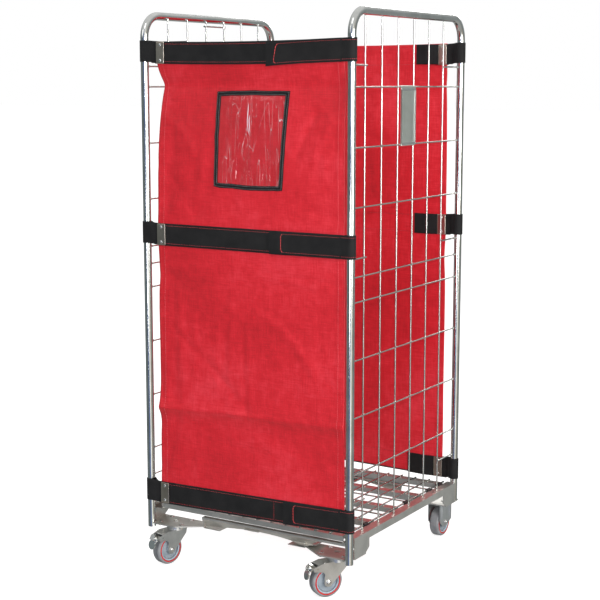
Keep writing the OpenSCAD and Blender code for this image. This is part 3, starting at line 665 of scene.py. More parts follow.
# ------------------------------------------------------------- carried-over CAD
def finish_nodes():
    """Materials for the CAD nodes that stay."""
    look = {
        "label_plate": M_PLATE, "front_beam": M_SHEET, "rear_beam": M_SHEET,
        "caster_bolts": M_BRIGHT, "rear_axles": M_BRIGHT,
        "deck_bars": M_SHEET, "deck_cross_wires": M_WIRE, "deck_long_wires": M_WIRE,
        "deck_hinge_rod": M_WIRE, "deck_hinge_clips": M_BLACK,
    }
    of_side = {
        "{}_frame_tube": M_TUBE, "{}_upright_wires": M_WIRE, "{}_cross_wires": M_WIRE,
        "{}_side_rail": M_SHEET, "front_{}_bracket": M_SHEET, "rear_{}_bracket": M_SHEET,
        "front_{}_top_plate": M_SHEET, "front_{}_kingpin": M_BRIGHT, "front_{}_fork": M_FORK,
        "front_{}_pedal": M_BRIGHT, "front_{}_axle": M_BRIGHT, "rear_{}_fork": M_FORK,
        "front_{}_hub": M_HUB, "rear_{}_hub": M_HUB, "front_{}_tyre": M_TYRE,
        "rear_{}_tyre": M_TYRE,
    }
    for side in ("left", "right"):
        look.update({name.format(side): material for name, material in of_side.items()})
    for name, material in look.items():
        obj = NODES[name]
        if not obj.material_slots:
            obj.data.materials.append(material)
        for s in obj.material_slots:
            s.material = material
        if material in (M_SHEET, M_PLATE, M_FORK) and name != "deck_bars":
            edge = obj.modifiers.new("edge", "BEVEL")
            edge.width = 0.0006
            edge.segments = 2
            edge.limit_method = "ANGLE"
            edge.angle_limit = math.radians(45)
            edge.harden_normals = False


# --------------------------------------------------------------------- covers
SIDE_STEP = 0.008
SETTLE_CAP = 0.0022


def strap_z(level, x):
    """Middle height of a front band at x."""
    k = (x + POST_X) / (2 * POST_X)
    return LEFT_Z[level] + (RIGHT_Z[level] - LEFT_Z[level]) * k + SAG[level] * 4 * k * (1 - k)


def band_wave(level, x, rear):
    """Small in-and-out waves of a band, which the cloth behind shares."""
    edge = min(1.0, max(0.0, (0.33 - abs(x)) / 0.08))
    return 0.0011 * edge * fbm(x, LEVELS.index(level), 7.1 if rear else 1.7, 7, 2)


def simulate(obj, pin):
    """Hangs the cloth between its sewn bands and returns the settled places."""
    group = obj.vertex_groups.new(name="pin")
    group.add([int(i) for i in np.nonzero(pin)[0]], 1.0, "REPLACE")
    mod = obj.modifiers.new("cloth", "CLOTH")
    s = mod.settings
    s.quality = 6
    s.mass = 0.25
    s.air_damping = 4
    s.tension_stiffness = s.compression_stiffness = 25
    s.shear_stiffness = 12
    s.bending_stiffness = 1.2
    s.vertex_group_mass = "pin"
    s.shrink_min = -0.0012
    mod.collision_settings.use_collision = False
    mod.collision_settings.use_self_collision = False
    mod.point_cache.frame_start = 1
    mod.point_cache.frame_end = 30
    for f in range(1, 26):
        SCENE.frame_set(f)
    deps = bpy.context.evaluated_depsgraph_get()
    got = obj.evaluated_get(deps).to_mesh()
    co = np.zeros(len(got.vertices) * 3)
    got.vertices.foreach_get("co", co)
    obj.evaluated_get(deps).to_mesh_clear()
    obj.modifiers.remove(mod)
    obj.vertex_groups.remove(group)
    SCENE.frame_set(1)
    return co.reshape(-1, 3)


def crease(z):
    """Depth from 0 to 1 of the valley that runs across the front cover under its top band."""
    def raw(h):
        if h > CREASE_Z:
            return max(0.0, (CREASE_TOP - h) / (CREASE_TOP - CREASE_Z)) ** 1.2
        return math.exp(-(CREASE_Z - h) / 0.13)
    return (raw(z - 0.006) + raw(z) + raw(z + 0.006)) / 3 if z < CREASE_TOP - 0.006 else raw(z)


def ridge(d):
    """Outward fold: d is the height above its crest."""
    if d > 0:
        return math.exp(-d / 0.030)
    return 1.35 * math.exp(d / 0.020) - 0.35 * math.exp(-((d + 0.045) / 0.035) ** 2)


# Soft folds of the front cover: plan points (x, z), half width, height outwards
FOLDS = (
    (((-0.261, 0.777), (-0.121, 0.673), (0.008, 0.550)), 0.016, -0.0034),
    (((0.041, 0.866), (0.160, 0.795), (0.242, 0.701)), 0.018, 0.0030),
    (((0.251, 1.461), (0.215, 1.395), (0.183, 1.334)), 0.012, -0.0034),
    (((0.305, 1.440), (0.240, 1.330)), 0.014, 0.0026),
    (((0.060, 0.984), (0.200, 0.976), (0.320, 0.966)), 0.0065, -0.0016),
    (((0.110, 0.962), (0.290, 0.950)), 0.007, 0.0014),
    (((-0.300, 1.450), (-0.220, 1.395), (-0.150, 1.290)), 0.015, 0.0026),
    (((-0.310, 1.300), (-0.230, 1.220), (-0.180, 1.150)), 0.018, -0.0026),
    (((0.180, 1.215), (0.260, 1.170), (0.335, 1.150)), 0.016, -0.0022),
    (((-0.290, 0.960), (-0.160, 0.890)), 0.020, -0.0022),
    (((-0.050, 0.860), (-0.130, 0.790)), 0.022, 0.0024),
    (((-0.300, 0.400), (-0.120, 0.440), (0.060, 0.420)), 0.020, -0.0020),
    (((0.120, 0.470), (0.300, 0.430)), 0.020, -0.0022),
)


def fold_at(x, z):
    total = 0.0
    for points, width, rise in FOLDS:
        best = 9.0
        for (ax, az), (bx, bz) in zip(points, points[1:]):
            lx, lz = bx - ax, bz - az
            t = min(1.0, max(0.0, ((x - ax) * lx + (z - az) * lz) / (lx * lx + lz * lz)))
            best = min(best, math.hypot(x - ax - t * lx, z - az - t * lz))
        if best < 3 * width:
            total += rise * math.exp(-(best / width) ** 2)
    return total


def edge_shape(x, z, rear):
    """Where the flat cut's point (x, z) hangs in the plane of the cover: the left edge is
    drawn in below the top clip, and the right edge spreads towards its post lower down."""
    k = (x - COVER_L) / (COVER_R - COVER_L)
    pull = 0.008 * math.exp(-((z - 1.635) / 0.05) ** 2)
    pull += 0.004 * math.exp(-((z - 0.97) / 0.06) ** 2)
    pull += (0.006 if rear else 0.018) * crease(z)
    spread = 0.0035 * min(1.0, max(0.0, (1.6 - z) / 1.2))
    return x + pull * max(0.0, 1 - k * 4.5) ** 2 + spread * k ** 3 - 0.003 * max(0.0, k - 0.9) * 10 * (
        1 if z > 1.1 else 0)


def hanging(u, v, rear, seed):
    """Where the flat cut's point (u, v) hangs before the cloth settles."""
    y = COVER_Y
    for level in LEVELS:
        near = math.exp(-((v - strap_z(level, u)) / 0.05) ** 2)
        y -= band_wave(level, u, rear) * near
    free = 1.0 - max(math.exp(-((v - strap_z(l, u)) / 0.045) ** 2) for l in LEVELS)
    amp = 0.0035 * fbm(u + seed, 2.0, v, 2.6, 3) + 0.0012 * fbm(u + seed, 5.0, v, 11, 3)
    y -= free * amp
    if not rear:
        d = u - COVER_L
        y += (0.0155 + 0.0115 * math.exp(-d / 0.12)) * crease(v)
        crest = 0.526 + 0.015 * max(0.0, d / (COVER_R - COVER_L)) ** 0.6
        y -= (0.0085 + 0.0055 * math.exp(-d / 0.12)) * ridge(v - crest)
        y += 0.004 * math.exp(-((v - 0.942) / 0.05) ** 2)
        y -= free * fold_at(u, v)
    # The ends follow the slope of the top and bottom bands
    low = max(0.0, 1 - (v - COVER_LOW) / 0.10)
    high = max(0.0, 1 - (COVER_TOP - v) / 0.06)
    z = v + low * (strap_z("bottom", u) - strap_z("bottom", 0.0))
    hem_gap = 0.003 if rear else -0.003
    z += high * (strap_z("top", u) + WIDTH["top"] / 2 + hem_gap - COVER_TOP)
    return edge_shape(u, v, rear), y, z


def settle(obj, start, pin):
    """Lets the cloth settle by a little, and not at all where a band holds it."""
    moved = simulate(obj, pin) - start
    reach = np.linalg.norm(moved, axis=1)
    moved *= np.minimum(1, SETTLE_CAP / np.maximum(reach, 1e-9))[:, None]
    clear = np.min([np.abs(start[:, 2] - LEFT_Z[l]) - WIDTH[l] / 2 - 0.006 for l in LEVELS], axis=0)
    moved *= np.clip(clear / 0.05, 0, 1)[:, None]
    settled = start + moved
    obj.data.vertices.foreach_set("co", settled.ravel())
    obj.data.update()
    return settled


def surface_of(grid, us, vs):
    """A function that gives place and normal on a cover at the flat cut's point (u, v)."""
    nz, nx = grid.shape[:2]
    normal = np.cross(np.gradient(grid, axis=1), np.gradient(grid, axis=0))
    normal /= np.linalg.norm(normal, axis=2)[:, :, None]

    def at(u, v, side=1):
        """On the outside (side 1) or inside (side -1)."""
        i = min(max((u - us[0]) / (us[1] - us[0]), 0), nx - 1.001)
        j = min(max((v - vs[0]) / (vs[1] - vs[0]), 0), nz - 1.001)
        i0, j0 = int(i), int(j)
        a, b = i - i0, j - j0
        w = ((1 - a) * (1 - b), a * (1 - b), (1 - a) * b, a * b)
        idx = ((j0, i0), (j0, i0 + 1), (j0 + 1, i0), (j0 + 1, i0 + 1))
        p = sum(k * grid[q] for k, q in zip(w, idx))
        n = sum(k * normal[q] for k, q in zip(w, idx))
        n = n / np.linalg.norm(n) * side
        return p + n * 0.0006, n

    return at


def build_seams(end, at):
    """Hem seams down both sides, inside and outside, and the rows that hold the bands, seen
    on the inside."""
    spans, low = [], COVER_LOW + 0.006
    for level in reversed(LEVELS):
        spans.append((low, LEFT_Z[level] - WIDTH[level] / 2 - 0.001))
        low = LEFT_Z[level] + WIDTH[level] / 2 + 0.001
    hem, edge, inner = Pile(), Pile(), Pile()
    for inset, pile, row in ((0.0225, hem, HEM_ROW), (0.009, edge, EDGE_ROW)):
        for u in (COVER_L + inset, COVER_R - inset):
            for v0, v1 in spans:
                if v1 - v0 < 0.02:
                    continue
                q = np.linspace(v0, v1, max(2, int((v1 - v0) / SIDE_STEP)))
                for side in (1, -1):
                    pile.stitches([at(u, v, side) for v in q], row)
    for level in LEVELS:
        for across in (-0.0285, 0.0285):
            q = np.linspace(COVER_L + 0.012, COVER_R - 0.012, 90)
            inner.stitches([at(u, strap_z(level, u) + across, -1) for u in q], INSIDE_ROW)
    return [make(f"{end}_cover_seams", hem.v, hem.f, M_HEM_THREAD),
            make(f"{end}_cover_edge_seams", edge.v, edge.f, M_FAINT_THREAD),
            make(f"{end}_band_seams_inside", inner.v, inner.f, M_DARK_THREAD)]


def build_cover(rear):
    end = "rear" if rear else "front"
    nx = int(round((COVER_R - COVER_L) / SIDE_STEP)) + 1
    nz = int(round((COVER_TOP - COVER_LOW) / SIDE_STEP)) + 1
    us = np.linspace(COVER_L, COVER_R, nx)
    vs = np.linspace(COVER_LOW, COVER_TOP, nz)
    seed = 4.7 if rear else 0.0
    pts = placed([hanging(u, v, rear, seed) for v in vs for u in us], rear)
    faces = [(a, a + 1, a + 1 + nx, a + nx)
             for j in range(nz - 1) for a in range(j * nx, j * nx + nx - 1)]
    obj = make(f"{end}_cover_cloth", pts, faces, M_CLOTH)
    pin = [any(abs(v - strap_z(l, u)) < WIDTH[l] / 2 - 0.003 for l in LEVELS)
           for v in vs for u in us]
    pts = settle(obj, pts, np.array(pin))
    at = surface_of(pts.reshape(nz, nx, 3), us, vs)

    hem = obj.vertex_groups.new(name="hem")
    for j in range(nz):
        for i in range(nx):
            edge = min(us[i] - us[0], us[-1] - us[i], vs[-1] - vs[j], vs[j] - vs[0])
            hem.add([j * nx + i], 1.0 if edge < 0.0245 else 0.52, "REPLACE")
    sub = obj.modifiers.new("smooth", "SUBSURF")
    sub.levels = sub.render_levels = 1
    solid = obj.modifiers.new("cloth", "SOLIDIFY")
    solid.thickness = 0.0018
    solid.offset = 0
    solid.vertex_group = "hem"
    solid.use_even_offset = False
    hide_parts(f"{end}_cover")
    build_seams(end, at)
    return at


# --------------------------------------------------------------------- straps
def wrap_plan(level):
    """Plan of a strap from its clip to the other post, round it and back to the front."""
    r = TUBE_R + 0.0003 + STRAP_T / 2

    def z(x):
        return strap_z(level, x)

    pts = [(x, BAND_Y, z(x)) for x in np.linspace(BAND_L, POST_X - 0.034, 60)]
    gap_x = POST_X - r
    # Through the gap between the cover's edge and the post
    for k in np.linspace(0.15, 1, 9):
        x = POST_X - 0.034 + (gap_x - POST_X + 0.034) * k ** 0.75
        y = BAND_Y + (-POST_Y - BAND_Y) * ease(k) ** 1.6
        pts.append((x, y, z(x)))
    for a in np.linspace(176, -83, 44):
        a = math.radians(a)
        x = POST_X + r * math.cos(a)
        pts.append((x, -POST_Y + r * math.sin(a), z(POST_X)))
    # Leg back to the front, down on to the band
    x1, y1 = TAIL_HINGE + 0.003, TAIL_Y
    x0, y0, _ = pts[-1]
    for k in np.linspace(0.1, 1, 8):
        x = x0 + (x1 - x0) * k
        pts.append((x, y0 + (y1 - y0) * ease(k), z(x)))
    return pts


def build_strap(level, rear):
    end = "rear" if rear else "front"
    pts = [(x, y - (band_wave(level, x, rear) if y < BAND_Y + 0.0001 and x < 0.33 else 0), z)
           for x, y, z in wrap_plan(level)]
    verts, faces, at, length = webbing(pts, WIDTH[level], STRAP_T, rear, step=0.0045)
    row_z = WIDTH[level] / 2 - 0.0070
    make(f"{end}_{level}_strap", verts, faces, M_WEB,
         replaces=(f"{end}_straps", "strap_wraps"))
    thread = Pile()
    visible_to = TAIL_FREE[level] - BAND_L - 0.001
    for across in (-row_z, row_z):
        thread.stitches(row_on(at, 0.006, visible_to, across, 1), BAND_ROW)
        thread.stitches(row_on(at, length - 0.115, length - 0.002, across, -1), BAND_ROW)
    if level == "bottom":
        q = visible_to - 0.034
        thread.stitches([at(q, a, 1) for a in np.linspace(-0.027, 0.027, 9)], BOX_ROW)
    make(f"{end}_{level}_strap_thread", thread.v, thread.f, M_RED_THREAD)


# Each free end: droop of its tip, lean of its bar tack, and the tack's distance from the tip
TAIL_SHAPE = {
    "top": (-0.0068, -0.010, 0.031),
    "middle": (-0.001, 0.0, 0.042),
    "bottom": (-0.001, 0.0, 0.037),
}


def build_tail(level, rear):
    """Free end that lies back over its own band."""
    end = "rear" if rear else "front"
    free, hinge = TAIL_FREE[level], TAIL_HINGE
    drop, lean, inset = TAIL_SHAPE[level]
    pts = []
    seed = LEVELS.index(level) * 3.1 + (9 if rear else 0)
    for x in np.linspace(hinge + 0.003, free, 50):
        k = (hinge - x) / (hinge - free)
        k = max(0, k)
        y = TAIL_Y - 0.0003 - 0.0006 * k + 0.0005 * fbm(x, seed, 1.0, 9, 2) * min(1, k * 6)
        pts.append((x, y, strap_z(level, x) + drop * k ** 3))
    verts, faces, at, length = webbing(pts, WIDTH[level] + 0.0006, STRAP_T, rear, step=0.0045)
    obj = make(f"{end}_{level}_tail_webbing", verts, faces, M_WEB, body=None,
               replaces=(f"{end}_{level}_tail",))
    thread, bar = Pile(), Pile()
    stop = length - inset
    for across, shift in ((-0.0275, -lean / 2), (0.0275, lean / 2)):
        thread.stitches(row_on(at, 0.003, stop - 0.006 + shift, across, -1), BAND_ROW)
    bar.stitches([at(stop + lean / 2 * a - 0.007 * a ** 8, 0.0275 * a, -1)
                  for a in np.linspace(-1, 1, 25)], BAR_ROW)
    rows = make(f"{end}_{level}_tail_thread", thread.v, thread.f, M_RED_THREAD, body=None)
    tack = make(f"{end}_{level}_tail_bar", bar.v, bar.f, M_BAR_THREAD, body=None)
    s = -1 if rear else 1
    y = s * TAIL_Y + SHIFT_Y
    for piece in (obj, rows, tack):
        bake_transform(piece)


def build_loop(level, rear):
    """Webbing loop round the post next to the clips, its inner leg running on inside."""
    end = "rear" if rear else "front"
    r = TUBE_R + 0.0003 + STRAP_T / 2
    z = strap_z(level, -POST_X)
    inner_y = COVER_Y + 0.0024
    pts = []
    free = -0.205 if level != "bottom" else -0.19

    def rise(x):
        return z + 0.004 * min(1.0, max(0.0, (-x - 0.300) / 0.055))

    for x in np.linspace(free, -0.338, 30):
        lift = 0.004 * math.exp(-((x + 0.25) / 0.03) ** 2) if x > -0.29 else 0
        pts.append((x, inner_y + lift, z))
    x0, y0, _ = pts[-1]
    tangent = [(-POST_X + r * math.cos(a), -POST_Y + r * math.sin(a))
               for a in [math.radians(d) for d in np.linspace(75, 272, 34)]]
    for k in np.linspace(0.15, 0.9, 5):
        x = x0 + (tangent[0][0] - x0) * k
        pts.append((x, y0 + (tangent[0][1] - y0) * ease(k), rise(x)))
    pts += [(x, y, z + 0.004) for x, y in tangent]
    x0, y0 = tangent[-1]
    x1, y1 = -0.296, BAND_Y - 0.0003
    for k in np.linspace(0.1, 1, 12):
        x = x0 + (x1 - x0) * k
        pts.append((x, y0 + (y1 - y0) * ease(min(1, k * 1.5)), rise(x)))
    verts, faces, at, _ = webbing(pts, WIDTH[level] - 0.002, 0.0022, rear, step=0.004)
    make(f"{end}_{level}_post_loop", verts, faces, M_WEB, replaces=("post_loops",))
    tacks = Pile()
    for across in (-0.014, 0.014):
        _, n = at(0.016, across, -1)
        for k in (-1, 0, 1):
            q, _ = at(0.016 + 0.003 * k, across, -1)
            tacks.blob(q + n * 0.0002, (UP * 0.0032, n * 0.0006, np.array([0.0012, 0, 0])), 4, 8)
    make(f"{end}_{level}_loop_tacks", tacks.v, tacks.f, M_BAR_THREAD)


# Rings of a clamp plate from its back to its slightly crowned face: (share of size, share
# of thickness)
PLATE_CROWN = ((1.0, -1.0), (1.0, 0.4), (0.975, 1.0), (0.86, 1.35), (0.45, 1.5))


def build_clip(level, rear):
    """Clamp plates outside and inside, with two rivets through them."""
    end = "rear" if rear else "front"
    z0 = strap_z(level, -POST_X + 0.06)
    x0, x1 = (-0.3155, -0.2860) if level == "top" else (-0.3215, -0.2905)
    mid_x = (x0 + x1) / 2
    h, thick, round_r = 0.0335, 0.00075, 0.003
    outline = []
    for cx, cz, start in ((x1 - round_r, h - round_r, 0), (x0 + round_r, h - round_r, 90),
                          (x0 + round_r, -h + round_r, 180), (x1 - round_r, -h + round_r, 270)):
        for a in range(0, 91, 15):
            w = math.radians(start + a)
            outline.append((cx + round_r * math.cos(w), cz + round_r * math.sin(w)))
    n = len(outline)
    for side, y in ((1, BAND_Y - STRAP_T / 2 - 0.0026), (-1, COVER_Y + 0.0044)):
        pile = Pile()
        verts = []
        for shrink, dy in PLATE_CROWN:
            verts += [(mid_x + (x - mid_x) * shrink, y - side * dy * thick,
                       z0 + z * (shrink * 0.5 + 0.5)) for x, z in outline]
        rings = len(PLATE_CROWN)
        faces = [(i * n + k, i * n + (k + 1) % n, (i + 1) * n + (k + 1) % n, (i + 1) * n + k)
                 for i in range(rings - 1) for k in range(n)]
        faces.append(tuple(range(n - 1, -1, -1)))
        faces.append(tuple((rings - 1) * n + k for k in range(n)))
        pile.add([tuple(v) for v in placed(verts, rear)], faces)
        face = "outer" if side == 1 else "inner"
        make(f"{end}_{level}_clip_{face}", pile.v, pile.f, M_CLIP,
             replaces=("clip_plates",))
        rivets = Pile()
        for s in (-1, 1):
            centre = placed([(mid_x, y - side * thick * 1.4, z0 + s * 0.0235)], rear)[0]
            flip = -1 if rear else 1
            rivets.blob(centre, (np.array([0.0048, 0, 0]), UP * 0.0048,
                                 np.array([0, 0.0016 * flip, 0])), 8, 20)
        make(f"{end}_{level}_rivets_{face}", rivets.v, rivets.f, M_BRIGHT,
             replaces=("clip_rivets",))


# --------------------------------------------------------------------- pocket
BINDING_W, BINDING_T = 0.0145, 0.0026
# Across the binding: (distance inwards, lift)
BINDING_PROFILE = [(0.0, 0.0003), (0.0004, BINDING_T * 0.6), (0.0016, BINDING_T * 0.95),
                   (0.005, BINDING_T * 1.0), (0.009, BINDING_T * 1.06), (0.0128, BINDING_T * 0.92),
                   (0.0141, BINDING_T * 0.6), (0.0145, 0.0006)]
BINDING_STEPS = 34
# Bow of the binding's left, top, right and bottom sides
BINDING_BOW = (0.0, 0.0020, 0.0, -0.0045)
# Upright folds of the film: place across, lean, height in steps, half width
FILM_FOLDS = (
    (0.14, 0.05, 1.6, 0.010), (0.235, -0.03, 1.3, 0.008), (0.33, 0.06, 2.0, 0.010),
    (0.405, 0.02, 1.2, 0.006), (0.50, -0.06, 2.2, 0.011), (0.585, 0.03, 1.6, 0.008),
    (0.66, -0.04, 2.0, 0.009), (0.745, 0.05, 1.5, 0.008), (0.83, -0.02, 1.9, 0.010),
    (0.91, 0.02, 1.1, 0.007))


def inward(edge, towards):
    """Normal of an edge in its plane, on the side of a vector."""
    n = np.array([edge[1], -edge[0]])
    return -n if np.dot(n, towards) < 0 else n


def pocket_corners():
    """Corners of the binding, from the lower left clockwise, each with its mitre inwards.
    The cloth is drawn inwards here, so they are set a little out and to the left."""
    lo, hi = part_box("pocket_binding")
    corners = [(lo.x - 0.006, lo.z + 0.001), (lo.x + 0.003, hi.z + 0.003),
               (hi.x - 0.008, hi.z + 0.005), (hi.x - 0.032, lo.z - 0.003)]
    centre = np.mean(corners, axis=0)
    out = []
    for i in range(4):
        p = np.array(corners[i])
        a, b = np.array(corners[i - 1]), np.array(corners[(i + 1) % 4])
        e0, e1 = (p - a) / np.linalg.norm(p - a), (b - p) / np.linalg.norm(b - p)
        n0, n1 = np.array([e0[1], -e0[0]]), np.array([e1[1], -e1[0]])
        if np.dot(n0, centre - p) < 0:
            n0, n1 = -n0, -n1
        m = n0 + n1
        out.append((p, m / np.dot(m, n0)))
    return out, centre


def binding_path(ends, centre):
    """Points along the binding's outer edge, each with its direction inwards, which turns
    to the mitre only near a corner."""
    path = []
    for i in range(4):
        (p, m), (q, k) = ends[i], ends[(i + 1) % 4]
        length = np.linalg.norm(q - p)
        nn = inward((q - p) / length, centre - p)
        for s in range(BINDING_STEPS):
            f = s / BINDING_STEPS
            bow = BINDING_BOW[i] * math.sin(math.pi * f)
            sway = 0.0011 * fbm(f * 5, i, 2.0, 1.0, 2) * math.sin(math.pi * f)
            wavy = np.array([sway if i in (0, 2) else 0.0, bow + (sway if i in (1, 3) else 0.0)])
            along = length * f
            left = max(0.0, 1 - along / (BINDING_W * 1.01))
            right = max(0.0, 1 - (length - along) / (BINDING_W * 1.01))
            path.append((p + (q - p) * f + wavy, nn + (m - nn) * left + (k - nn) * right))
    return path


def build_pocket(at):
    ends, centre = pocket_corners()
    path = binding_path(ends, centre)
    verts = []
    for p, d in path:
        wob = 0.0009 * fbm(p[0], p[1], 3.0, 30, 2)
        for a, h in BINDING_PROFILE:
            u, v = p + d * (a + wob)
            q, nrm = at(u, v)
            verts.append(q + nrm * (h + 0.0002 * fbm(u, v, 1, 60, 1)))
        for a, _ in reversed(BINDING_PROFILE):
            verts.append(at(*(p + d * (a + wob)))[0])
    m, rings = len(BINDING_PROFILE) * 2, len(path)
    faces = [(i * m + k, (i + 1) % rings * m + k, (i + 1) % rings * m + (k + 1) % m,
              i * m + (k + 1) % m) for i in range(rings) for k in range(m)]
    make("pocket_binding_tape", verts, faces, M_BINDING,
         replaces=("pocket_binding",))
    thread = Pile()
    for inset in (0.0035, 0.0115):
        spots = []
        for p, d in path + path[:1]:
            q, nrm = at(*(p + d * inset))
            spots.append((q + nrm * BINDING_T, nrm))
        thread.stitches(spots, POCKET_ROW)
    make("pocket_thread", thread.v, thread.f, M_GREY_THREAD)
    build_film(at, [p + m2 * (BINDING_W - 0.004) for p, m2 in ends])


def build_film(at, inner):
    """Film window, puffed up a little and creased, under the binding's inner edge."""
    nx, nz = 150, 120
    verts = []
    for j in range(nz):
        b = j / (nz - 1)
        l = inner[0] + (inner[1] - inner[0]) * b
        r = inner[3] + (inner[2] - inner[3]) * b
        for i in range(nx):
            a = i / (nx - 1)
            u, v = l + (r - l) * a
            q, nrm = at(u, v)
            rise = min(1.0, min(a, 1 - a, b, 1 - b) / 0.06)
            fold = 0.0
            for k, (place, lean, amp, wide) in enumerate(FILM_FOLDS):
                c = place + lean * (b - 0.5) + 0.018 * fbm(b, k, 0.5, 3.0, 2)
                reach = 0.35 + 0.65 * min(1.0, max(0.0, fbm(b * 1.3, k, 9.5, 2.5, 1) + 0.9))
                fold += amp * 0.00042 * reach * math.exp(-((a - c) / wide) ** 2)
            dim = 0.0004 * fbm(u, v, 8.0, 45, 2)
            puff = 0.0022 * math.sin(math.pi * a) ** 0.6 * math.sin(math.pi * b) ** 0.6
            verts.append(tuple(q + nrm * (0.0012 + rise * (puff + fold * 1.6 + dim))))
    faces = [(j * nx + i, j * nx + i + 1, (j + 1) * nx + i + 1, (j + 1) * nx + i)
             for j in range(nz - 1) for i in range(nx - 1)]
    film = make("pocket_film", verts, faces, M_FILM, replaces=("pocket_window",))
    solid = film.modifiers.new("film", "SOLIDIFY")
    solid.thickness = 0.0003


def build_label_border():
    """Rolled border round the sunken field of the label plate, given the brighter, glossier fastener
    finish as a painted highlight on the rolled rim.
    """
    lo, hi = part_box("label_plate")
    x = hi.x + 0.0001
    high, half_w = 0.0009, 0.0030
    y0, y1 = lo.y + 0.0035, hi.y - 0.0035
    z0, z1 = lo.z + 0.006, hi.z - 0.012
    pile = Pile()
    corners = [(y0, z0), (y1, z0), (y1, z1), (y0, z1)]
    for i in range(4):
        (ya, za), (yb, zb) = corners[i], corners[(i + 1) % 4]
        mid = np.array([x, (ya + yb) / 2, (za + zb) / 2])
        half = np.array([0, (yb - ya) / 2, (zb - za) / 2])
        across = np.array([0, abs(half[2]), abs(half[1])])
        across = across / np.linalg.norm(across) * half_w
        ring = [mid + s * half * 0.999 + a * across + np.array([b * high, 0, 0])
                for s in (-1, 1) for a, b in ((-1, -1), (-1, 0.3), (0, 1.1), (1, 0.3), (1, -1))]
        faces = [(k, (k + 1) % 5, 5 + (k + 1) % 5, 5 + k) for k in range(5)]
        faces += [(4, 3, 2, 1, 0), (5, 6, 7, 8, 9)]
        pile.add(ring, faces)
    # The border takes the bright fastener zinc, not the plate's own finish: painted highlight
    make("label_border", pile.v, pile.f, M_BRIGHT)


# ---------------------------------------------------------------------- welds
def build_welds():
    """Small weld beads where the mesh wires cross and meet the tube and the rail."""
    up_lo, up_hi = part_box("right_upright_wires")
    wire_r = (up_hi.x - up_lo.x) / 2
    up_x, cross_x = (up_lo.x + up_hi.x) / 2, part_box("right_cross_wires")[1].x - wire_r
    pitch = (2 * POST_Y) / 7
    uprights = [(i - 2.5) * pitch for i in range(6)]
    crosses = [0.382, 0.557, 0.732, 0.907, 0.982, 1.187, 1.362, 1.537]
    stubs = [1.600, 1.037, 0.294]
    top_z = up_hi.z
    for side, name in ((-1, "left"), (1, "right")):
        pile = Pile()
        for y in uprights:
            zs = crosses + (stubs if abs(y) > 0.2 else [])
            for z in zs:
                for s in (-1, 1):
                    k = 1 + 0.25 * fbm(y * 9, z * 7, s, 3, 1)
                    c = placed([(side * (up_x + wire_r * 1.05), y, z + s * wire_r * 0.95)])[0]
                    pile.blob(c, (np.array([0.0017 * k, 0, 0]), np.array([0, 0.0030 * k, 0]),
                                  UP * 0.0016 * k), 6, 8)
            c = placed([(side * up_x, y, up_lo.z + 0.0008)])[0]
            pile.blob(c, (np.array([0.0042, 0, 0]), np.array([0, 0.0042, 0]), UP * 0.002), 6, 10)
            c = placed([(side * (up_x + 0.003), y, top_z - 0.002)])[0]
            pile.blob(c, (np.array([0.0028, 0, 0]), np.array([0, 0.0032, 0]), UP * 0.0042), 6, 10)
        for z in crosses + stubs:
            for s in (-1, 1):
                c = placed([(side * (cross_x + 0.001), s * (POST_Y - 0.0118), z)])[0]
                pile.blob(c, (np.array([0.0036, 0, 0]), np.array([0, 0.0028, 0]), UP * 0.0038), 6, 10)
        make(f"{name}_welds", pile.v, pile.f, M_WIRE)
    # Deck
    pile = Pile()
    wires_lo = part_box("deck_long_wires")[0]
    bars_lo, bars_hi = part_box("deck_bars")
    xs = [wires_lo.x + wire_r + 0.0525 * i for i in range(13)]
    bar_pitch = (bars_hi.y - bars_lo.y - 0.028) / 4
    for i in range(4):
        y = bars_lo.y + 0.014 + (i + 0.5) * bar_pitch
        for x in xs:
            for s in (-1, 1):
                pile.blob((x + s * wire_r, y, wires_lo.z + 0.0004),
                          (np.array([0.0016, 0, 0]), np.array([0, 0.003, 0]), UP * 0.0015), 5, 8)
    for i in range(5):
        y = bars_lo.y + 0.014 + i * bar_pitch
        for x in xs:
            for s in (-1, 1):
                pile.blob((x + s * (wire_r - 0.0002), y, wires_lo.z + 0.0006),
                          (np.array([0.0018, 0, 0]), np.array([0, 0.004, 0]), UP * 0.0014), 5, 8)
    make("deck_welds", pile.v, pile.f, M_WIRE, body="deck")


# --------------------------------------------------------------------- wheels
# Outlines of the rings: (radius, distance from the wheel's middle)
RED_RING = ((0.0378, 0.0165), (0.0380, 0.0174), (0.0385, 0.0177), (0.0415, 0.0177),
            (0.0420, 0.0174), (0.0422, 0.0165))
RIM_RING = ((0.0341, 0.0135), (0.0342, 0.0150), (0.0348, 0.0156), (0.0364, 0.0156),
            (0.0369, 0.0150), (0.0370, 0.0135))


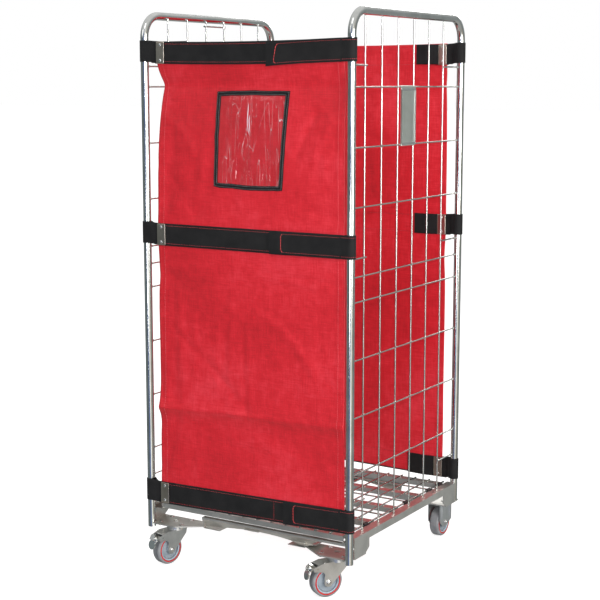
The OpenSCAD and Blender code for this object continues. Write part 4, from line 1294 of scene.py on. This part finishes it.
def wheel_rings(centre, axis, u, profile):
    """A turned ring on each side of a wheel."""
    pile, n, m = Pile(), 72, len(profile)
    for s in (-1, 1):
        verts = []
        for i in range(n):
            a = 2 * math.pi * i / n
            d = u * math.cos(a) + UP * math.sin(a)
            verts += [centre + d * radius + axis * s * h for radius, h in profile]
        faces = [(i * m + k, (i + 1) % n * m + k, (i + 1) % n * m + (k + 1) % m, i * m + (k + 1) % m)
                 for i in range(n) for k in range(m)]
        pile.add(verts, faces if s == 1 else [f[::-1] for f in faces])
    return pile


def build_wheels():
    """Red ring and pale rim ring let into each side of a wheel, and domed axle ends."""
    for end in ("front", "rear"):
        for side in ("left", "right"):
            lo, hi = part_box(f"{end}_{side}_tyre")
            centre = (np.array(lo) + np.array(hi)) / 2
            body, carrier = f"{end}_{side}_wheel", "root"
            axis = np.array([1.0, 0, 0])
            if end == "front":
                carrier = f"front_{side}_swivel"
                pin_lo, pin_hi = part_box(f"front_{side}_kingpin")
                pin = (np.array(pin_lo) + np.array(pin_hi)) / 2
                trail = math.atan2(centre[1] - pin[1], centre[0] - pin[0])
                axis = np.array([-math.sin(trail), math.cos(trail), 0])
            u = np.cross(axis, UP)
            red = wheel_rings(centre, axis, u, RED_RING)
            rim = wheel_rings(centre, axis, u, RIM_RING)
            domes = Pile()
            for s in (-1, 1):
                domes.blob(centre + axis * s * 0.0264, (u * 0.0073, UP * 0.0073,
                                                        axis * 0.0031), 8, 20)
            make(f"{end}_{side}_wheel_rings", red.v, red.f, M_RING, body=body)
            make(f"{end}_{side}_rim_rings", rim.v, rim.f, M_RIM, body=body)
            make(f"{end}_{side}_axle_domes", domes.v, domes.f, M_BRIGHT, body=carrier)


set_camera()
set_world()
set_lights()
set_floor()
finish_nodes()
front_at = build_cover(False)
build_cover(True)
for is_rear in (False, True):
    for lv in LEVELS:
        build_strap(lv, is_rear)
        build_tail(lv, is_rear)
        build_loop(lv, is_rear)
        build_clip(lv, is_rear)
build_pocket(front_at)
build_label_border()
build_welds()
build_wheels()
